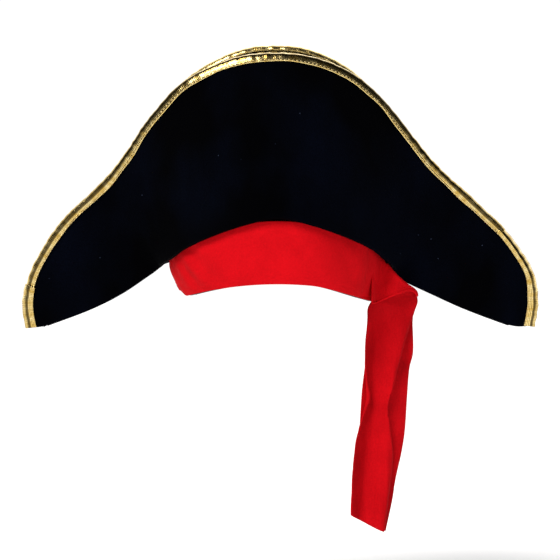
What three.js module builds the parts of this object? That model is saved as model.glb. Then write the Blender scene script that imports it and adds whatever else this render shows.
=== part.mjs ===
// A costume pirate hat: two foam-backed velvet brim panels turned up and sewn together at the sides,
// a soft crown between them, a gold edge binding and a red sash with two hanging tails.
// Units are millimetres. +X is to the wearer's left, the front of the hat faces -Y, and +Z is up.
// The origin is the centre of the head opening.
import * as THREE from 'three';
import { mergeVertices } from 'three/addons/utils/BufferGeometryUtils.js';

// ---------------------------------------------------------------- driving dimensions

// Overall hat
const HALF_WIDTH = 214.5; // centre line to the widest point of a panel's cut edge
const CREST_HEIGHT = 201; // height of the front panel's cut edge on the centre line
const TIP_DROP = 26; // how far the tips hang below the head opening
const CREST_HALF_GAP = 54; // centre plane to a panel's inner face at the crest
const TIP_HALF_GAP = 0.9; // and at the tips
const BACK_WIDEN = 1.01; // the back panel is cut a little wider than the front one
const BACK_RAISE = 1.075; // and taller, measured from the tips
const BRIM_BULGE = 5; // how far a panel bellies outwards

// Brim layers, from the inside out
const LINING_THICK = 0.8;
const FOAM_THICK = 3.2;
const VELVET_THICK = 1.0;
const LAYER_GAP = 0.3;

// Tape under the seam that joins the panels
const KEEL_TAPE_THICK = 0.8;
const KEEL_TAPE_FROM_SASH = 8; // the tape starts at least this far outside the sash
const KEEL_TAPE_END = 0.985; // share of the way from the centre line to a tip where it ends
const KEEL_TAPE_INSET = 0.6; // from the outer face of a panel to the tape's edge
const KEEL_TAPE_CLEARANCE = 0.7; // between the tape and the panels' lower edges

// Edge binding
const BINDING_CLOTH = 0.8;
const BINDING_LEG = 7.6; // depth of the binding on each face
const BINDING_CLEARANCE = 0.75;
const BINDING_CROWNING = 0.5; // extra height of the rounded edge
const STITCH_INSET = 1.4; // from the binding's inner edge to its row of stitches
const TIP_LEG = 8.6; // the tip pieces are cut wider
const LEFT_JOINT = 0.75; // share of the way to the tip where the left tip piece meets the long bindings
const RIGHT_JOINT = 0.9; // and the same at the wearer's right
const JOINT_GAP = 1.2; // gap along the edge between a long binding and a tip piece

// Head opening and crown
const HEAD_HALF_WIDTH = 76.5;
const HEAD_HALF_LENGTH = 98;
const OPENING_ARCH = 11; // the opening rises this much at the front and back
const FLARE_WIDTH = 8.4; // the crown widens by this much above the opening, side to side
const FLARE_LENGTH = 5.4; // and front to back
const FLARE_FOOT = -10.5; // the flare begins this far below the opening's edge
const FLARE_HEIGHT = 30; // and is complete at this height
const LEVEL_HEIGHT = 36; // above this height the opening's arch fades out
const SHOULDER_HEIGHT = 60; // where the crown begins to close
const CROWN_SEAM_HEIGHT = 98; // seam between crown side and crown top
const DOME_RISE = 34; // crown top above that seam
const DOME_FULLNESS = 0.7; // below 1 the dome is fuller towards its rim
const CROWN_TOP_HALF_WIDTH = 76.4; // inside of the crown at that seam, side to side
const CROWN_TOP_HALF_LENGTH = 94.9; // and front to back
const CROWN_SIDE_START = 4; // height of the crown side's lower edge above the opening's edge
const CROWN_LINING_START = 3;
const STIFFENER_START = 2;
const SWEATBAND_START = 1;
const CROWN_LINING_SEAM = 80; // where the lining's side meets its dome
const SWEATBAND_THICK = 0.9;
const SWEATBAND_HEIGHT = 30;
const CROWN_LINING_THICK = 0.7;
const STIFFENER_THICK = 1.2;
const STIFFENER_HEIGHT = 36;
const CROWN_CLOTH = 1.0;

// Sash
const SASH_THICK = 2.4;
const SASH_CLEARANCE = 0.4;
const SASH_TOP_SIDE = 36; // height of the sash's upper edge at the sides
const BRIM_FOOT_FRONT = 63; // height of the panels' lower edge on the centre line
const SASH_TUCK = 1; // the sash reaches this much above that edge
const SASH_HEM_ROLL = 0.78; // the lower hem is drawn in by this much
const SASH_HEM_OUTSIDE = 3; // height of the hem's roll on the sash's outer face
const SASH_HEM_INSIDE = 1.6; // and on its inner face
const SASH_CREST_MARGIN = 0.5; // least height of the stretch above the level where the opening's arch fades
const FOLD_THICK = 4.5;
const FOLD_BOTTOM = -4;
const FOLD_START_DEPTH = -40; // y of the folded corner where it leaves the band
const FOLD_END_DEPTH = -22; // and at its outer end
const TAIL_TOP = -8.4;
const TAIL_THICK = 2.2;
const TAIL_GAP = 0.8;
const TAIL_END_LEFT = -180; // the tails are cut off at a slant
const TAIL_END_RIGHT = -196;
const TAIL_SLANT_START = 0.6; // share of a tail's length where its sections begin to slant
const TAIL_END_INSET = 3.4; // the slant begins this far inside the band's side
const TAIL_END_WIDTH = 28; // and falls across this width
const REAR_END_LOW = [0, 8]; // height of the rear end's lower edge, where it starts and where it is tacked
const REAR_END_HIGH = [25, 22]; // and of its upper edge

// Thread and label
const THREAD_RADIUS = 0.35;
const THREAD_CLEARANCE = 0.3;
const TACK_RADIUS = 0.8;
const TACK_LENGTH = 12;
const TACK_INSET = 1.4; // from the band's side in to the bar
const TACK_DEPTH = -25; // y of the bar's middle
const TACK_HEIGHT = 21;
const CROWN_SEAM_ALLOWANCE = 3; // the seam thread runs this far below the crown's top edge
const LABEL_WIDTH = 22;
const LABEL_HEIGHT = 14;
const LABEL_THICK = 0.4;
const LABEL_START = 10; // height of the label's lower edge above the opening's edge
const LABEL_STANDOFF = 1.2; // the label stands this far off the sweatband's face at its edges

// Mesh density
const COLUMN_SPACING = 10.7; // across a brim panel
const COLUMNS = 2 * Math.round(HALF_WIDTH / COLUMN_SPACING);
const ROWS = 5; // up a brim panel
const RING_STEPS = 36; // around the head
const DOME_SHARES = [0, 0.25, 0.5, 0.75, 1]; // from the dome's seam to its top
const LABEL_STEPS = 4;
const TACK_SIDES = 8;
const MERGE_DISTANCE = 1e-3;
const THREAD_SIDES = 6;
const COLUMN_TOLERANCE = 1e-4;
const TAIL_STEPS = 18;
const REAR_END_STEPS = 8;
const NORMAL_STEP = 0.01; // share of a panel's surface over which its outward direction is measured
const STATION_MARGIN = 0.004; // a column closer than this to an end of a strip is left out

// ---------------------------------------------------------------- materials

function cloth(color, roughness, metalness = 0) {
  return new THREE.MeshStandardMaterial({ color, roughness, metalness });
}

const blackVelvet = () => cloth('#0b0c12', 0.95);
const blackLining = () => cloth('#131316', 0.8);
const blackFoam = () => cloth('#1b1b1d', 0.98);
const goldLame = () => cloth('#c9a24a', 0.35, 0.9);
const goldThread = () => cloth('#b98f3a', 0.5, 0.6);
const redCrepe = () => cloth('#c4051a', 0.85);
const redThread = () => cloth('#8f0713', 0.7);
const blackBuckram = () => cloth('#222222', 0.9);
const blackTwill = () => cloth('#19191c', 0.85);
const blackThread = () => cloth('#0e0e10', 0.7);
const whiteSatin = () => cloth('#e7e4dc', 0.6);

// ---------------------------------------------------------------- solids from sections

/**
 * Turns a row of sections into one closed, outward-facing body. Each section is a loop: its first half runs
 * along one face and its second half runs back along the other. Both faces are split along the same
 * diagonals, mirrored across the centre line, so that layers made from one surface lie parallel.
 */
function solidFromSections(sections, closed) {
  const perSection = sections[0].length;
  const points = sections.flat();
  const positions = points.flatMap((point) => [point.x, point.y, point.z]);
  const index = [];
  const quad = (a, b, c, d) => index.push(a, b, c, a, c, d);
  const turnedQuad = (a, b, c, d) => index.push(a, b, d, b, c, d);
  const last = closed ? sections.length : sections.length - 1;
  for (let s = 0; s < last; s += 1) {
    const here = s * perSection;
    const next = ((s + 1) % sections.length) * perSection;
    for (let k = 0; k < perSection; k += 1) {
      const k2 = (k + 1) % perSection;
      const leftSide = points[here + k].x + points[next + k2].x < 0;
      const split = (k < perSection / 2) === leftSide ? quad : turnedQuad;
      split(here + k, here + k2, next + k2, next + k);
    }
  }
  if (!closed) {
    const end = (sections.length - 1) * perSection;
    for (let k = 0; k < perSection / 2 - 1; k += 1) {
      const mate = perSection - 1 - k;
      quad(mate, mate - 1, k + 1, k);
      quad(end + k, end + k + 1, end + mate - 1, end + mate);
    }
  }
  const raw = new THREE.BufferGeometry();
  raw.setAttribute('position', new THREE.Float32BufferAttribute(positions, 3));
  raw.setIndex(index);
  return facingOut(mergeVertices(raw, MERGE_DISTANCE));
}

/** Drops triangles that merging has collapsed, and turns the body's faces outwards. */
function facingOut(geometry) {
  const source = geometry.getIndex().array;
  const position = geometry.getAttribute('position');
  const corner = (i) => new THREE.Vector3().fromBufferAttribute(position, i);
  const kept = [];
  let volume = 0;
  for (let i = 0; i < source.length; i += 3) {
    const [a, b, c] = [source[i], source[i + 1], source[i + 2]];
    if (a !== b && b !== c && c !== a) {
      kept.push(a, b, c);
      volume += corner(a).dot(corner(b).cross(corner(c)));
    }
  }
  if (volume < 0) {
    kept.reverse();
  }
  geometry.setIndex(kept);
  geometry.computeVertexNormals();
  return geometry;
}

function named(name, geometry, material) {
  const mesh = new THREE.Mesh(geometry, material);
  mesh.name = name;
  return mesh;
}

// ---------------------------------------------------------------- brim panels

const BRIM_THICK = LINING_THICK + FOAM_THICK + VELVET_THICK + 2 * LAYER_GAP;
const LINING_SPAN = [0, LINING_THICK];
const FOAM_SPAN = [LINING_THICK + LAYER_GAP, LINING_THICK + LAYER_GAP + FOAM_THICK];
const VELVET_SPAN = [BRIM_THICK - VELVET_THICK, BRIM_THICK];

// Half of the cut edge, from the crest to the tip, as shares of the half width and of the crest height.
const EDGE_SHAPE = [
  [0, 1], [0.172, 0.973], [0.35, 0.858], [0.4825, 0.697], [0.5455, 0.597], [0.662, 0.468],
  [0.797, 0.336], [0.907, 0.209], [0.974, 0.0846],
];
const TIP_CORNER_RISE = 20; // from the end of the tip up to the widest point
const TIP_CORNER_INSET = 4.5; // the end of the tip is this much further in
const GAP_GROWTH = 1.2; // how fast the gap between the panels opens towards the crest
const TIP_FOOT_INSET = 14.5; // from the widest point of the cut edge to the foot of the tip
const SEAM_HALF_GAP = 0.6;
// The lower edge round the crown, as degrees from the hat's side and drop below its height at the front.
const FOOT_ROUND_CROWN = [[90, 0], [73, 5.4], [54.5, 14], [36.5, 22.5], [21.8, 30]];
// The lower edge beyond the crown, as distance outside the crown's foot, half gap and height.
const FOOT_BESIDE_CROWN = [
  [0.9, 20, 28], [3.6, 9, 24.5], [10, 2.4, 18.6], [20, 0.8, 11.4], [40, SEAM_HALF_GAP, 1.5],
  [66, SEAM_HALF_GAP, -10.5],
];
const TIP_FOOT_LIFT = 1.5; // the foot of the tip is this much higher than the tip
const CROWN_MARGIN = 1.3; // between the sash and the lower edge of a panel

/** Half width and half length of the sash's outer face at full flare, where the panels stand round it. */
function crownReach() {
  const layers = bandOffsets().sash[1];
  return {
    a: HEAD_HALF_WIDTH + FLARE_WIDTH + layers,
    b: HEAD_HALF_LENGTH + FLARE_LENGTH + layers,
  };
}

/** The lower edge of the front panel's inner face, from the centre line to the tip. */
function lowerEdgePoints() {
  const { a, b } = crownReach();
  const around = FOOT_ROUND_CROWN.map(([degrees, drop]) => {
    const angle = THREE.MathUtils.degToRad(degrees);
    const x = (a + CROWN_MARGIN) * Math.cos(angle);
    return [x, -(b + CROWN_MARGIN) * Math.sin(angle), BRIM_FOOT_FRONT - drop];
  });
  const side = FOOT_BESIDE_CROWN.map(([out, halfGap, z]) => [a + CROWN_MARGIN + out, -halfGap, z]);
  side.push([HALF_WIDTH - TIP_FOOT_INSET, -SEAM_HALF_GAP, TIP_FOOT_LIFT - TIP_DROP]);
  return [...around, ...side];
}

/** The cut edge of a panel's inner face, from the crest to the tip. */
function upperEdgePoints(widen, raise) {
  const shape = EDGE_SHAPE.map(([share, height]) => [HALF_WIDTH * share, CREST_HEIGHT * height]);
  shape.push([HALF_WIDTH, TIP_CORNER_RISE - TIP_DROP], [HALF_WIDTH - TIP_CORNER_INSET, -TIP_DROP]);
  return shape.map(([x, z]) => {
    const rise = (z + TIP_DROP) / (CREST_HEIGHT + TIP_DROP);
    const y = TIP_HALF_GAP + (CREST_HALF_GAP - TIP_HALF_GAP) * rise ** GAP_GROWTH;
    return [x * widen, -y, (z + TIP_DROP) * raise - TIP_DROP];
  });
}

/** A smooth curve through the points and their mirror images across the centre line. */
function mirroredCurve(points) {
  const right = points.map(([x, y, z]) => new THREE.Vector3(x, y, z));
  const left = right.slice(1).reverse().map((point) => new THREE.Vector3(-point.x, point.y, point.z));
  const curve = new THREE.CatmullRomCurve3([...left, ...right], false, 'catmullrom', 0.5);
  curve.arcLengthDivisions = 600;
  return curve;
}

/** A brim panel as a surface: u runs from tip to tip and v from the lower edge to the cut edge. */
class Panel {
  constructor(facing, widen, raise) {
    this.facing = facing;
    this.lower = mirroredCurve(lowerEdgePoints());
    this.upper = mirroredCurve(upperEdgePoints(widen, raise));
  }

  /** A point of the inner face. */
  at(u, v) {
    const share = THREE.MathUtils.clamp((u + 1) / 2, 0, 1);
    const point = this.lower.getPointAt(share).lerp(this.upper.getPointAt(share), v);
    const belly = BRIM_BULGE * Math.sin(Math.PI * THREE.MathUtils.clamp(v, 0, 1)) * (1 - Math.abs(u) ** 3);
    point.y = this.facing * (-point.y + belly);
    return point;
  }

  /** The outward direction at a point of the inner face. */
  normal(u, v) {
    const uLow = Math.max(u - NORMAL_STEP, -1);
    const uHigh = Math.min(u + NORMAL_STEP, 1);
    const vLow = Math.max(v - NORMAL_STEP, 0);
    const vHigh = Math.min(v + NORMAL_STEP, 1);
    const across = this.at(uHigh, v).sub(this.at(uLow, v));
    const up = this.at(u, vHigh).sub(this.at(u, vLow));
    const normal = across.cross(up).normalize();
    return normal.y * this.facing < 0 ? normal.negate() : normal;
  }

  offset(u, v, distance) {
    return this.at(u, v).addScaledVector(this.normal(u, v), distance);
  }

  /** The direction that leaves the cut edge within the panel's surface. */
  outOfEdge(u) {
    return this.at(u, 1).sub(this.at(u, 1 - 1 / ROWS)).normalize();
  }

  /** A point near the cut edge: `out` beyond the edge and `off` from the inner face. */
  nearEdge(u, out, off) {
    return this.at(u, 1).addScaledVector(this.normal(u, 1), off).addScaledVector(this.outOfEdge(u), out);
  }
}

const stationOf = (column) => (2 * column) / COLUMNS - 1;
const nearestStation = (u) => stationOf(Math.round(((u + 1) * COLUMNS) / 2));

/** One cloth or foam layer of a panel, between two distances from its inner face. */
function brimLayer(panel, [near, far]) {
  const sections = [];
  for (let column = 0; column <= COLUMNS; column += 1) {
    const u = stationOf(column);
    const heights = Array.from({ length: ROWS + 1 }, (_, row) => row / ROWS);
    const outside = heights.map((v) => panel.offset(u, v, far));
    const inside = heights.map((v) => panel.offset(u, v, near)).reverse();
    sections.push([...outside, ...inside]);
  }
  return solidFromSections(sections, false);
}

/** Stations from one place on the edge to another, with every panel column between them. */
function stationsBetween(from, to) {
  const inner = [];
  for (let column = 0; column <= COLUMNS; column += 1) {
    const u = stationOf(column);
    if (u > from + STATION_MARGIN && u < to - STATION_MARGIN) {
      inner.push(u);
    }
  }
  return [from, ...inner, to];
}

/** A U of binding over one panel's cut edge. */
function edgeBinding(panel, from, to) {
  const near = BINDING_CLEARANCE;
  const far = BINDING_CLEARANCE + BINDING_CLOTH;
  const middle = BRIM_THICK / 2;
  const sections = stationsBetween(from, to).map((u) => [
    panel.nearEdge(u, -BINDING_LEG, -far),
    panel.nearEdge(u, near, -far),
    panel.nearEdge(u, far + BINDING_CROWNING, middle),
    panel.nearEdge(u, near, BRIM_THICK + far),
    panel.nearEdge(u, -BINDING_LEG, BRIM_THICK + far),
    panel.nearEdge(u, -BINDING_LEG, BRIM_THICK + near),
    panel.nearEdge(u, near, BRIM_THICK + near),
    panel.nearEdge(u, near + BINDING_CROWNING, middle),
    panel.nearEdge(u, near, -near),
    panel.nearEdge(u, -BINDING_LEG, -near),
  ]);
  return solidFromSections(sections, false);
}

/** A wider U of binding over both panels' edges together, at a tip. */
function tipBinding(front, back, from, to) {
  const near = BINDING_CLEARANCE;
  const far = BINDING_CLEARANCE + BINDING_CLOTH;
  const sections = stationsBetween(from, to).map((u) => [
    front.nearEdge(u, -TIP_LEG, BRIM_THICK + far),
    front.nearEdge(u, near, BRIM_THICK + far),
    back.nearEdge(u, far + BINDING_CROWNING, 0),
    back.nearEdge(u, near, BRIM_THICK + far),
    back.nearEdge(u, -TIP_LEG, BRIM_THICK + far),
    back.nearEdge(u, -TIP_LEG, BRIM_THICK + near),
    back.nearEdge(u, near, BRIM_THICK + near),
    back.nearEdge(u, near + BINDING_CROWNING, 0),
    front.nearEdge(u, near, BRIM_THICK + near),
    front.nearEdge(u, -TIP_LEG, BRIM_THICK + near),
  ]);
  return solidFromSections(sections, false);
}

/** The row of stitches that holds a binding, as one thread lying on its outer leg. */
function bindingThread(panel, from, to) {
  const height = BRIM_THICK + BINDING_CLEARANCE + BINDING_CLOTH + THREAD_CLEARANCE + THREAD_RADIUS;
  const sections = stationsBetween(from, to).map((u) => {
    const centre = panel.nearEdge(u, STITCH_INSET - BINDING_LEG, height);
    return ringOf(centre, panel.normal(u, 1), panel.outOfEdge(u), THREAD_RADIUS);
  });
  return solidFromSections(sections, false);
}

/** A small polygon around a thread's centre, in the plane of two directions. */
function ringOf(centre, first, second, radius) {
  return Array.from({ length: THREAD_SIDES }, (_, k) => {
    const angle = (2 * Math.PI * (k + 0.5)) / THREAD_SIDES;
    return centre.clone()
      .addScaledVector(first, radius * Math.cos(angle))
      .addScaledVector(second, radius * Math.sin(angle));
  });
}

/** The first column whose lower edge is clear of the sash. */
function keelTapeStart(front) {
  const clear = crownReach().a + KEEL_TAPE_FROM_SASH;
  const columns = Array.from({ length: COLUMNS + 1 }, (_, column) => stationOf(column));
  return columns.find((u) => front.at(u, 0).x > clear);
}

/** The strip that covers the seam under the two panels, from beside the crown to a tip. */
function keelTape(front, back, side) {
  const halfWidth = BRIM_THICK - KEEL_TAPE_INSET;
  const below = KEEL_TAPE_CLEARANCE;
  const sectionAt = (u) => {
    const behind = front.at(Math.max(u - NORMAL_STEP, -1), 0);
    const along = front.at(Math.min(u + NORMAL_STEP, 1), 0).sub(behind);
    const down = new THREE.Vector3(along.z, 0, -along.x).normalize();
    const frontPoints = [front.offset(u, 0, halfWidth), front.at(u, 0)];
    const across = [...frontPoints, back.at(u, 0), back.offset(u, 0, halfWidth)];
    const lowered = (drop) => across.map((point) => point.clone().addScaledVector(down, drop));
    return [...lowered(below), ...lowered(below + KEEL_TAPE_THICK).reverse()];
  };
  const ends = [side * keelTapeStart(front), side * KEEL_TAPE_END].sort((p, q) => p - q);
  const sections = stationsBetween(...ends).map((u) => betweenColumns(u, sectionAt));
  return solidFromSections(sections, false);
}

/** A section anywhere between two columns, on the straight stretch that the panels' layers have there. */
function betweenColumns(u, sectionAt) {
  const column = (u + 1) * (COLUMNS / 2);
  const low = Math.floor(column + COLUMN_TOLERANCE);
  const share = Math.max(column - low, 0);
  if (share < COLUMN_TOLERANCE) {
    return sectionAt(stationOf(low));
  }
  const next = sectionAt(stationOf(low + 1));
  return sectionAt(stationOf(low)).map((point, k) => point.lerp(next[k], share));
}

// ---------------------------------------------------------------- crown and headband

// Heights above the opening's edge where the crown's layers change slope.
const FLARE_LEVELS = [9, 20];
const CROWN_LEVELS = [
  0, ...FLARE_LEVELS, LEVEL_HEIGHT, SHOULDER_HEIGHT, CROWN_LINING_SEAM, CROWN_SEAM_HEIGHT,
];

/** Distances of each layer from the head oval, from the inside out. */
function bandOffsets() {
  const spans = {};
  let at = 0;
  const stack = [
    ['sweatband', SWEATBAND_THICK], ['lining', CROWN_LINING_THICK],
    ['stiffener', STIFFENER_THICK], ['crown', CROWN_CLOTH],
  ];
  for (const [name, thick] of stack) {
    spans[name] = [at, at + thick];
    at += thick + LAYER_GAP;
  }
  at += SASH_CLEARANCE - LAYER_GAP;
  spans.sash = [at, at + SASH_THICK];
  return spans;
}

/** Half width and half length of the inside of the hat at a height above the opening's edge. */
function headAxes(height) {
  const flare = THREE.MathUtils.smoothstep(height, FLARE_FOOT, FLARE_HEIGHT);
  const closingSpan = CROWN_SEAM_HEIGHT - SHOULDER_HEIGHT;
  const closing = THREE.MathUtils.clamp((height - SHOULDER_HEIGHT) / closingSpan, 0, 1);
  const a = HEAD_HALF_WIDTH + FLARE_WIDTH * flare;
  const b = HEAD_HALF_LENGTH + FLARE_LENGTH * flare;
  return {
    a: THREE.MathUtils.lerp(a, CROWN_TOP_HALF_WIDTH, closing * closing),
    b: THREE.MathUtils.lerp(b, CROWN_TOP_HALF_LENGTH, closing * closing),
  };
}

/** A point of the crown's own curve: heights are counted from the opening's arched edge, which fades out. */
function crownCurve(angle, height, offset) {
  const { a, b } = headAxes(height);
  const arch = OPENING_ARCH * Math.sin(angle) ** 2;
  const fade = 1 - THREE.MathUtils.smoothstep(height, LEVEL_HEIGHT, CROWN_SEAM_HEIGHT);
  const x = (a + offset) * Math.cos(angle);
  const y = (b + offset) * Math.sin(angle);
  return new THREE.Vector3(x, y, height + arch * fade);
}

/** A point round the crown, on the straight stretch between two of the levels that all its layers share. */
function crownPoint(angle, height, offset) {
  const upper = Math.max(CROWN_LEVELS.findIndex((level) => level >= height), 1);
  const low = CROWN_LEVELS[upper - 1];
  const high = CROWN_LEVELS[upper];
  const share = (height - low) / (high - low);
  return crownCurve(angle, low, offset).lerp(crownCurve(angle, high, offset), share);
}

/** A point of the dome that closes the crown: share 0 is its seam and share 1 its top. */
function domePoint(angle, share, offset) {
  const rim = headAxes(CROWN_SEAM_HEIGHT);
  const swing = (share * Math.PI) / 2;
  const reach = Math.cos(swing) ** DOME_FULLNESS;
  const z = CROWN_SEAM_HEIGHT + (DOME_RISE + offset) * Math.sin(swing);
  const x = (rim.a + offset) * reach * Math.cos(angle);
  const y = (rim.b + offset) * reach * Math.sin(angle);
  return new THREE.Vector3(x, y, z);
}

const ringAngles = () => Array.from({ length: RING_STEPS }, (_, k) => (2 * Math.PI * k) / RING_STEPS);

/** The shared levels between two heights, with both ends. */
function levelsBetween(from, to) {
  return [from, ...CROWN_LEVELS.filter((level) => level > from && level < to), to];
}

/** A band round the head from one height to another. */
function crownBand(from, to, [near, far]) {
  const heights = levelsBetween(from, to);
  const sections = ringAngles().map((angle) => [
    ...heights.map((height) => crownPoint(angle, height, far)),
    ...heights.map((height) => crownPoint(angle, height, near)).reverse(),
  ]);
  return solidFromSections(sections, true);
}

/** The oval top of the crown: a shallow dome, open underneath. */
function crownTop([near, far]) {
  const raise = (point) => point.add(new THREE.Vector3(0, 0, LAYER_GAP));
  const sections = ringAngles().map((angle) => [
    ...DOME_SHARES.map((share) => raise(domePoint(angle, share, far))),
    ...DOME_SHARES.map((share) => raise(domePoint(angle, share, near))).reverse(),
  ]);
  return solidFromSections(sections, true);
}

/** The crown's lining: a soft cap, open underneath. */
function crownLining([near, far]) {
  const heights = levelsBetween(CROWN_LINING_START, CROWN_LINING_SEAM);
  const side = (angle, offset) => [
    ...heights.map((height) => crownPoint(angle, height, offset)),
    ...DOME_SHARES.map((share) => domePoint(angle, share, offset)),
  ];
  const sections = ringAngles().map((angle) => [...side(angle, far), ...side(angle, near).reverse()]);
  return solidFromSections(sections, true);
}

/** The seam between crown side and crown top, as one thread round the hat. */
function crownSeamThread() {
  const offset = bandOffsets().crown[1] + THREAD_CLEARANCE + THREAD_RADIUS;
  const sections = ringAngles().map((angle) => {
    const centre = crownPoint(angle, CROWN_SEAM_HEIGHT - CROWN_SEAM_ALLOWANCE, offset);
    const out = new THREE.Vector3(Math.cos(angle), Math.sin(angle), 0);
    return ringOf(centre, out, new THREE.Vector3(0, 0, 1), THREAD_RADIUS);
  });
  return solidFromSections(sections, true);
}

/** A blank woven label inside the back of the sweatband. */
function careLabel() {
  const angleSpan = LABEL_WIDTH / headAxes(0).a;
  const off = -LABEL_STANDOFF;
  const sections = Array.from({ length: LABEL_STEPS + 1 }, (_, k) => {
    const angle = Math.PI / 2 + angleSpan * (k / LABEL_STEPS - 0.5);
    const at = (height, offset) => crownPoint(angle, height, offset);
    return [
      at(LABEL_START, off), at(LABEL_START + LABEL_HEIGHT, off),
      at(LABEL_START + LABEL_HEIGHT, off - LABEL_THICK), at(LABEL_START, off - LABEL_THICK),
    ];
  });
  return solidFromSections(sections, false);
}

// ---------------------------------------------------------------- sash

/** The part of the sash that goes round the head, with its lower hem rolled under. */
function sashBand() {
  const [near, far] = bandOffsets().sash;
  const front = BRIM_FOOT_FRONT + SASH_TUCK;
  const top = (angle) => SASH_TOP_SIDE + (front - SASH_TOP_SIDE - OPENING_ARCH) * Math.sin(angle) ** 2;
  const sections = ringAngles().map((angle) => {
    const crest = top(angle);
    const at = (height, offset) => crownPoint(angle, height, offset);
    const shoulder = Math.min(LEVEL_HEIGHT, crest - SASH_CREST_MARGIN);
    const above = [...FLARE_LEVELS, shoulder, crest];
    const hem = [at(0, near + SASH_CLEARANCE), at(SASH_HEM_OUTSIDE, far - SASH_HEM_ROLL)];
    const inside = [SASH_HEM_INSIDE, SASH_HEM_OUTSIDE, ...above].map((height) => at(height, near));
    return [...hem, ...above.map((height) => at(height, far)), ...inside.reverse()];
  });
  return solidFromSections(sections, true);
}

// All of the loose part of the sash is placed from the band's side.
const SASH_SIDE = crownReach().a;
// Upper edge of the folded corner, as [distance outside the band's side, height].
const FOLD_SHAPE = [[-8.4, 8], [-4.4, 18], [-0.4, 26.4], [6.2, 21.2], [14.1, 14.2], [22.4, 6.8], [25.1, 1.5]];
// The folded corner stands out from the side of the head. Its layers lie along this line, seen from above.
const FOLD_START = new THREE.Vector3(SASH_SIDE + FOLD_SHAPE.at(0)[0], FOLD_START_DEPTH, 0);
const FOLD_END = new THREE.Vector3(SASH_SIDE + FOLD_SHAPE.at(-1)[0], FOLD_END_DEPTH, 0);
const FOLD_DIRECTION = FOLD_END.clone().sub(FOLD_START).normalize();
const FOLD_BACKWARD = new THREE.Vector3(-FOLD_DIRECTION.y, FOLD_DIRECTION.x, 0);

/** The place in the sash's hanging plane at a distance x to the wearer's left, moved back by `back`. */
function inFoldPlane(x, z, back) {
  const along = (x - FOLD_START.x) / FOLD_DIRECTION.x;
  const point = FOLD_START.clone().addScaledVector(FOLD_DIRECTION, along).setZ(z);
  return point.addScaledVector(FOLD_BACKWARD, back);
}

/** The corner where the sash leaves the head, turns back on a diagonal fold and starts to hang. */
function sashFold() {
  const sections = FOLD_SHAPE.map(([out, top]) => [
    inFoldPlane(SASH_SIDE + out, FOLD_BOTTOM, -FOLD_THICK / 2),
    inFoldPlane(SASH_SIDE + out, top, -FOLD_THICK / 2),
    inFoldPlane(SASH_SIDE + out, top, FOLD_THICK / 2),
    inFoldPlane(SASH_SIDE + out, FOLD_BOTTOM, FOLD_THICK / 2),
  ]);
  return solidFromSections(sections, false);
}

// Edges of the hanging tails as [height, left edge, right edge], counted outwards from the band's side.
const FRONT_TAIL_SHAPE = [
  [TAIL_TOP, -17.4, 22.6], [-22, -17.6, 19.2], [-41, -19.3, 13], [-60, -19, 7.6], [-76, -15.9, 3.4],
  [-92, -13.9, -0.8], [-110, -19.9, 1], [-130, -27.4, 3.6], [-150, -29.8, 2.6], [-166, -30.8, 0.2],
  [TAIL_END_RIGHT, -31.8, -4],
];
const BACK_TAIL_SHAPE = [
  [TAIL_TOP, -16.4, 23], [-22, -17.4, 21], [-46, -18.4, 21.4], [-62, -19.4, 18], [-84, -21.9, 16.2],
  [-112, -23.6, 14.3], [-131, -24.9, 11.3], [-150, -25.4, 7], [-167, -25.9, 4.1],
  [TAIL_END_RIGHT, -26.4, -2.8],
];

/** One hanging tail of the sash, cut off at a slant. */
function sashTail(shape, back) {
  const corner = (row, column) => new THREE.Vector2(SASH_SIDE + row[column], row[0]);
  const edge = (column) => new THREE.SplineCurve(shape.map((row) => corner(row, column)));
  const left = edge(1);
  const right = edge(2);
  const across = [0, 0.5, 1];
  const slant = (x, share) => {
    const toEnd = THREE.MathUtils.smoothstep(share, TAIL_SLANT_START, 1);
    const lift = ((TAIL_END_LEFT - TAIL_END_RIGHT) * (SASH_SIDE - TAIL_END_INSET - x)) / TAIL_END_WIDTH;
    return Math.max(lift, 0) * toEnd;
  };
  const sections = Array.from({ length: TAIL_STEPS + 1 }, (_, k) => {
    const share = k / TAIL_STEPS;
    const leftPoint = left.getPoint(share);
    const rightPoint = right.getPoint(share);
    const at = (mix, offset) => {
      const x = THREE.MathUtils.lerp(leftPoint.x, rightPoint.x, mix);
      return inFoldPlane(x, leftPoint.y + slant(x, share), back + offset);
    };
    return [
      ...across.map((mix) => at(mix, -TAIL_THICK / 2)),
      ...across.map((mix) => at(mix, TAIL_THICK / 2)).reverse(),
    ];
  });
  return solidFromSections(sections, false);
}

/** The sash's other end: it comes round the back of the head to the place where the tails are tacked. */
function sashRearEnd() {
  const points = [[-1.8, 34], [2.6, 14], [3.2, -4], [1.2, -17]];
  const stops = points.map(([out, y]) => new THREE.Vector3(SASH_SIDE + out, y, 0));
  const route = new THREE.CatmullRomCurve3(stops);
  const sections = Array.from({ length: REAR_END_STEPS + 1 }, (_, k) => {
    const share = k / REAR_END_STEPS;
    const centre = route.getPointAt(share);
    const tangent = route.getTangentAt(share);
    const out = new THREE.Vector3(-tangent.y, tangent.x, 0);
    const low = THREE.MathUtils.lerp(...REAR_END_LOW, share);
    const high = THREE.MathUtils.lerp(...REAR_END_HIGH, share);
    const at = (z, offset) => centre.clone().setZ(z).addScaledVector(out, offset);
    const half = SASH_THICK / 2;
    return [at(low, -half), at(high, -half), at(high, half), at(low, half)];
  });
  return solidFromSections(sections, false);
}

// The thread bar that gathers the sash's two ends, and the line that the fold swings about.
const TACK = new THREE.Vector3(SASH_SIDE - TACK_INSET, TACK_DEPTH, TACK_HEIGHT);

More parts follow.
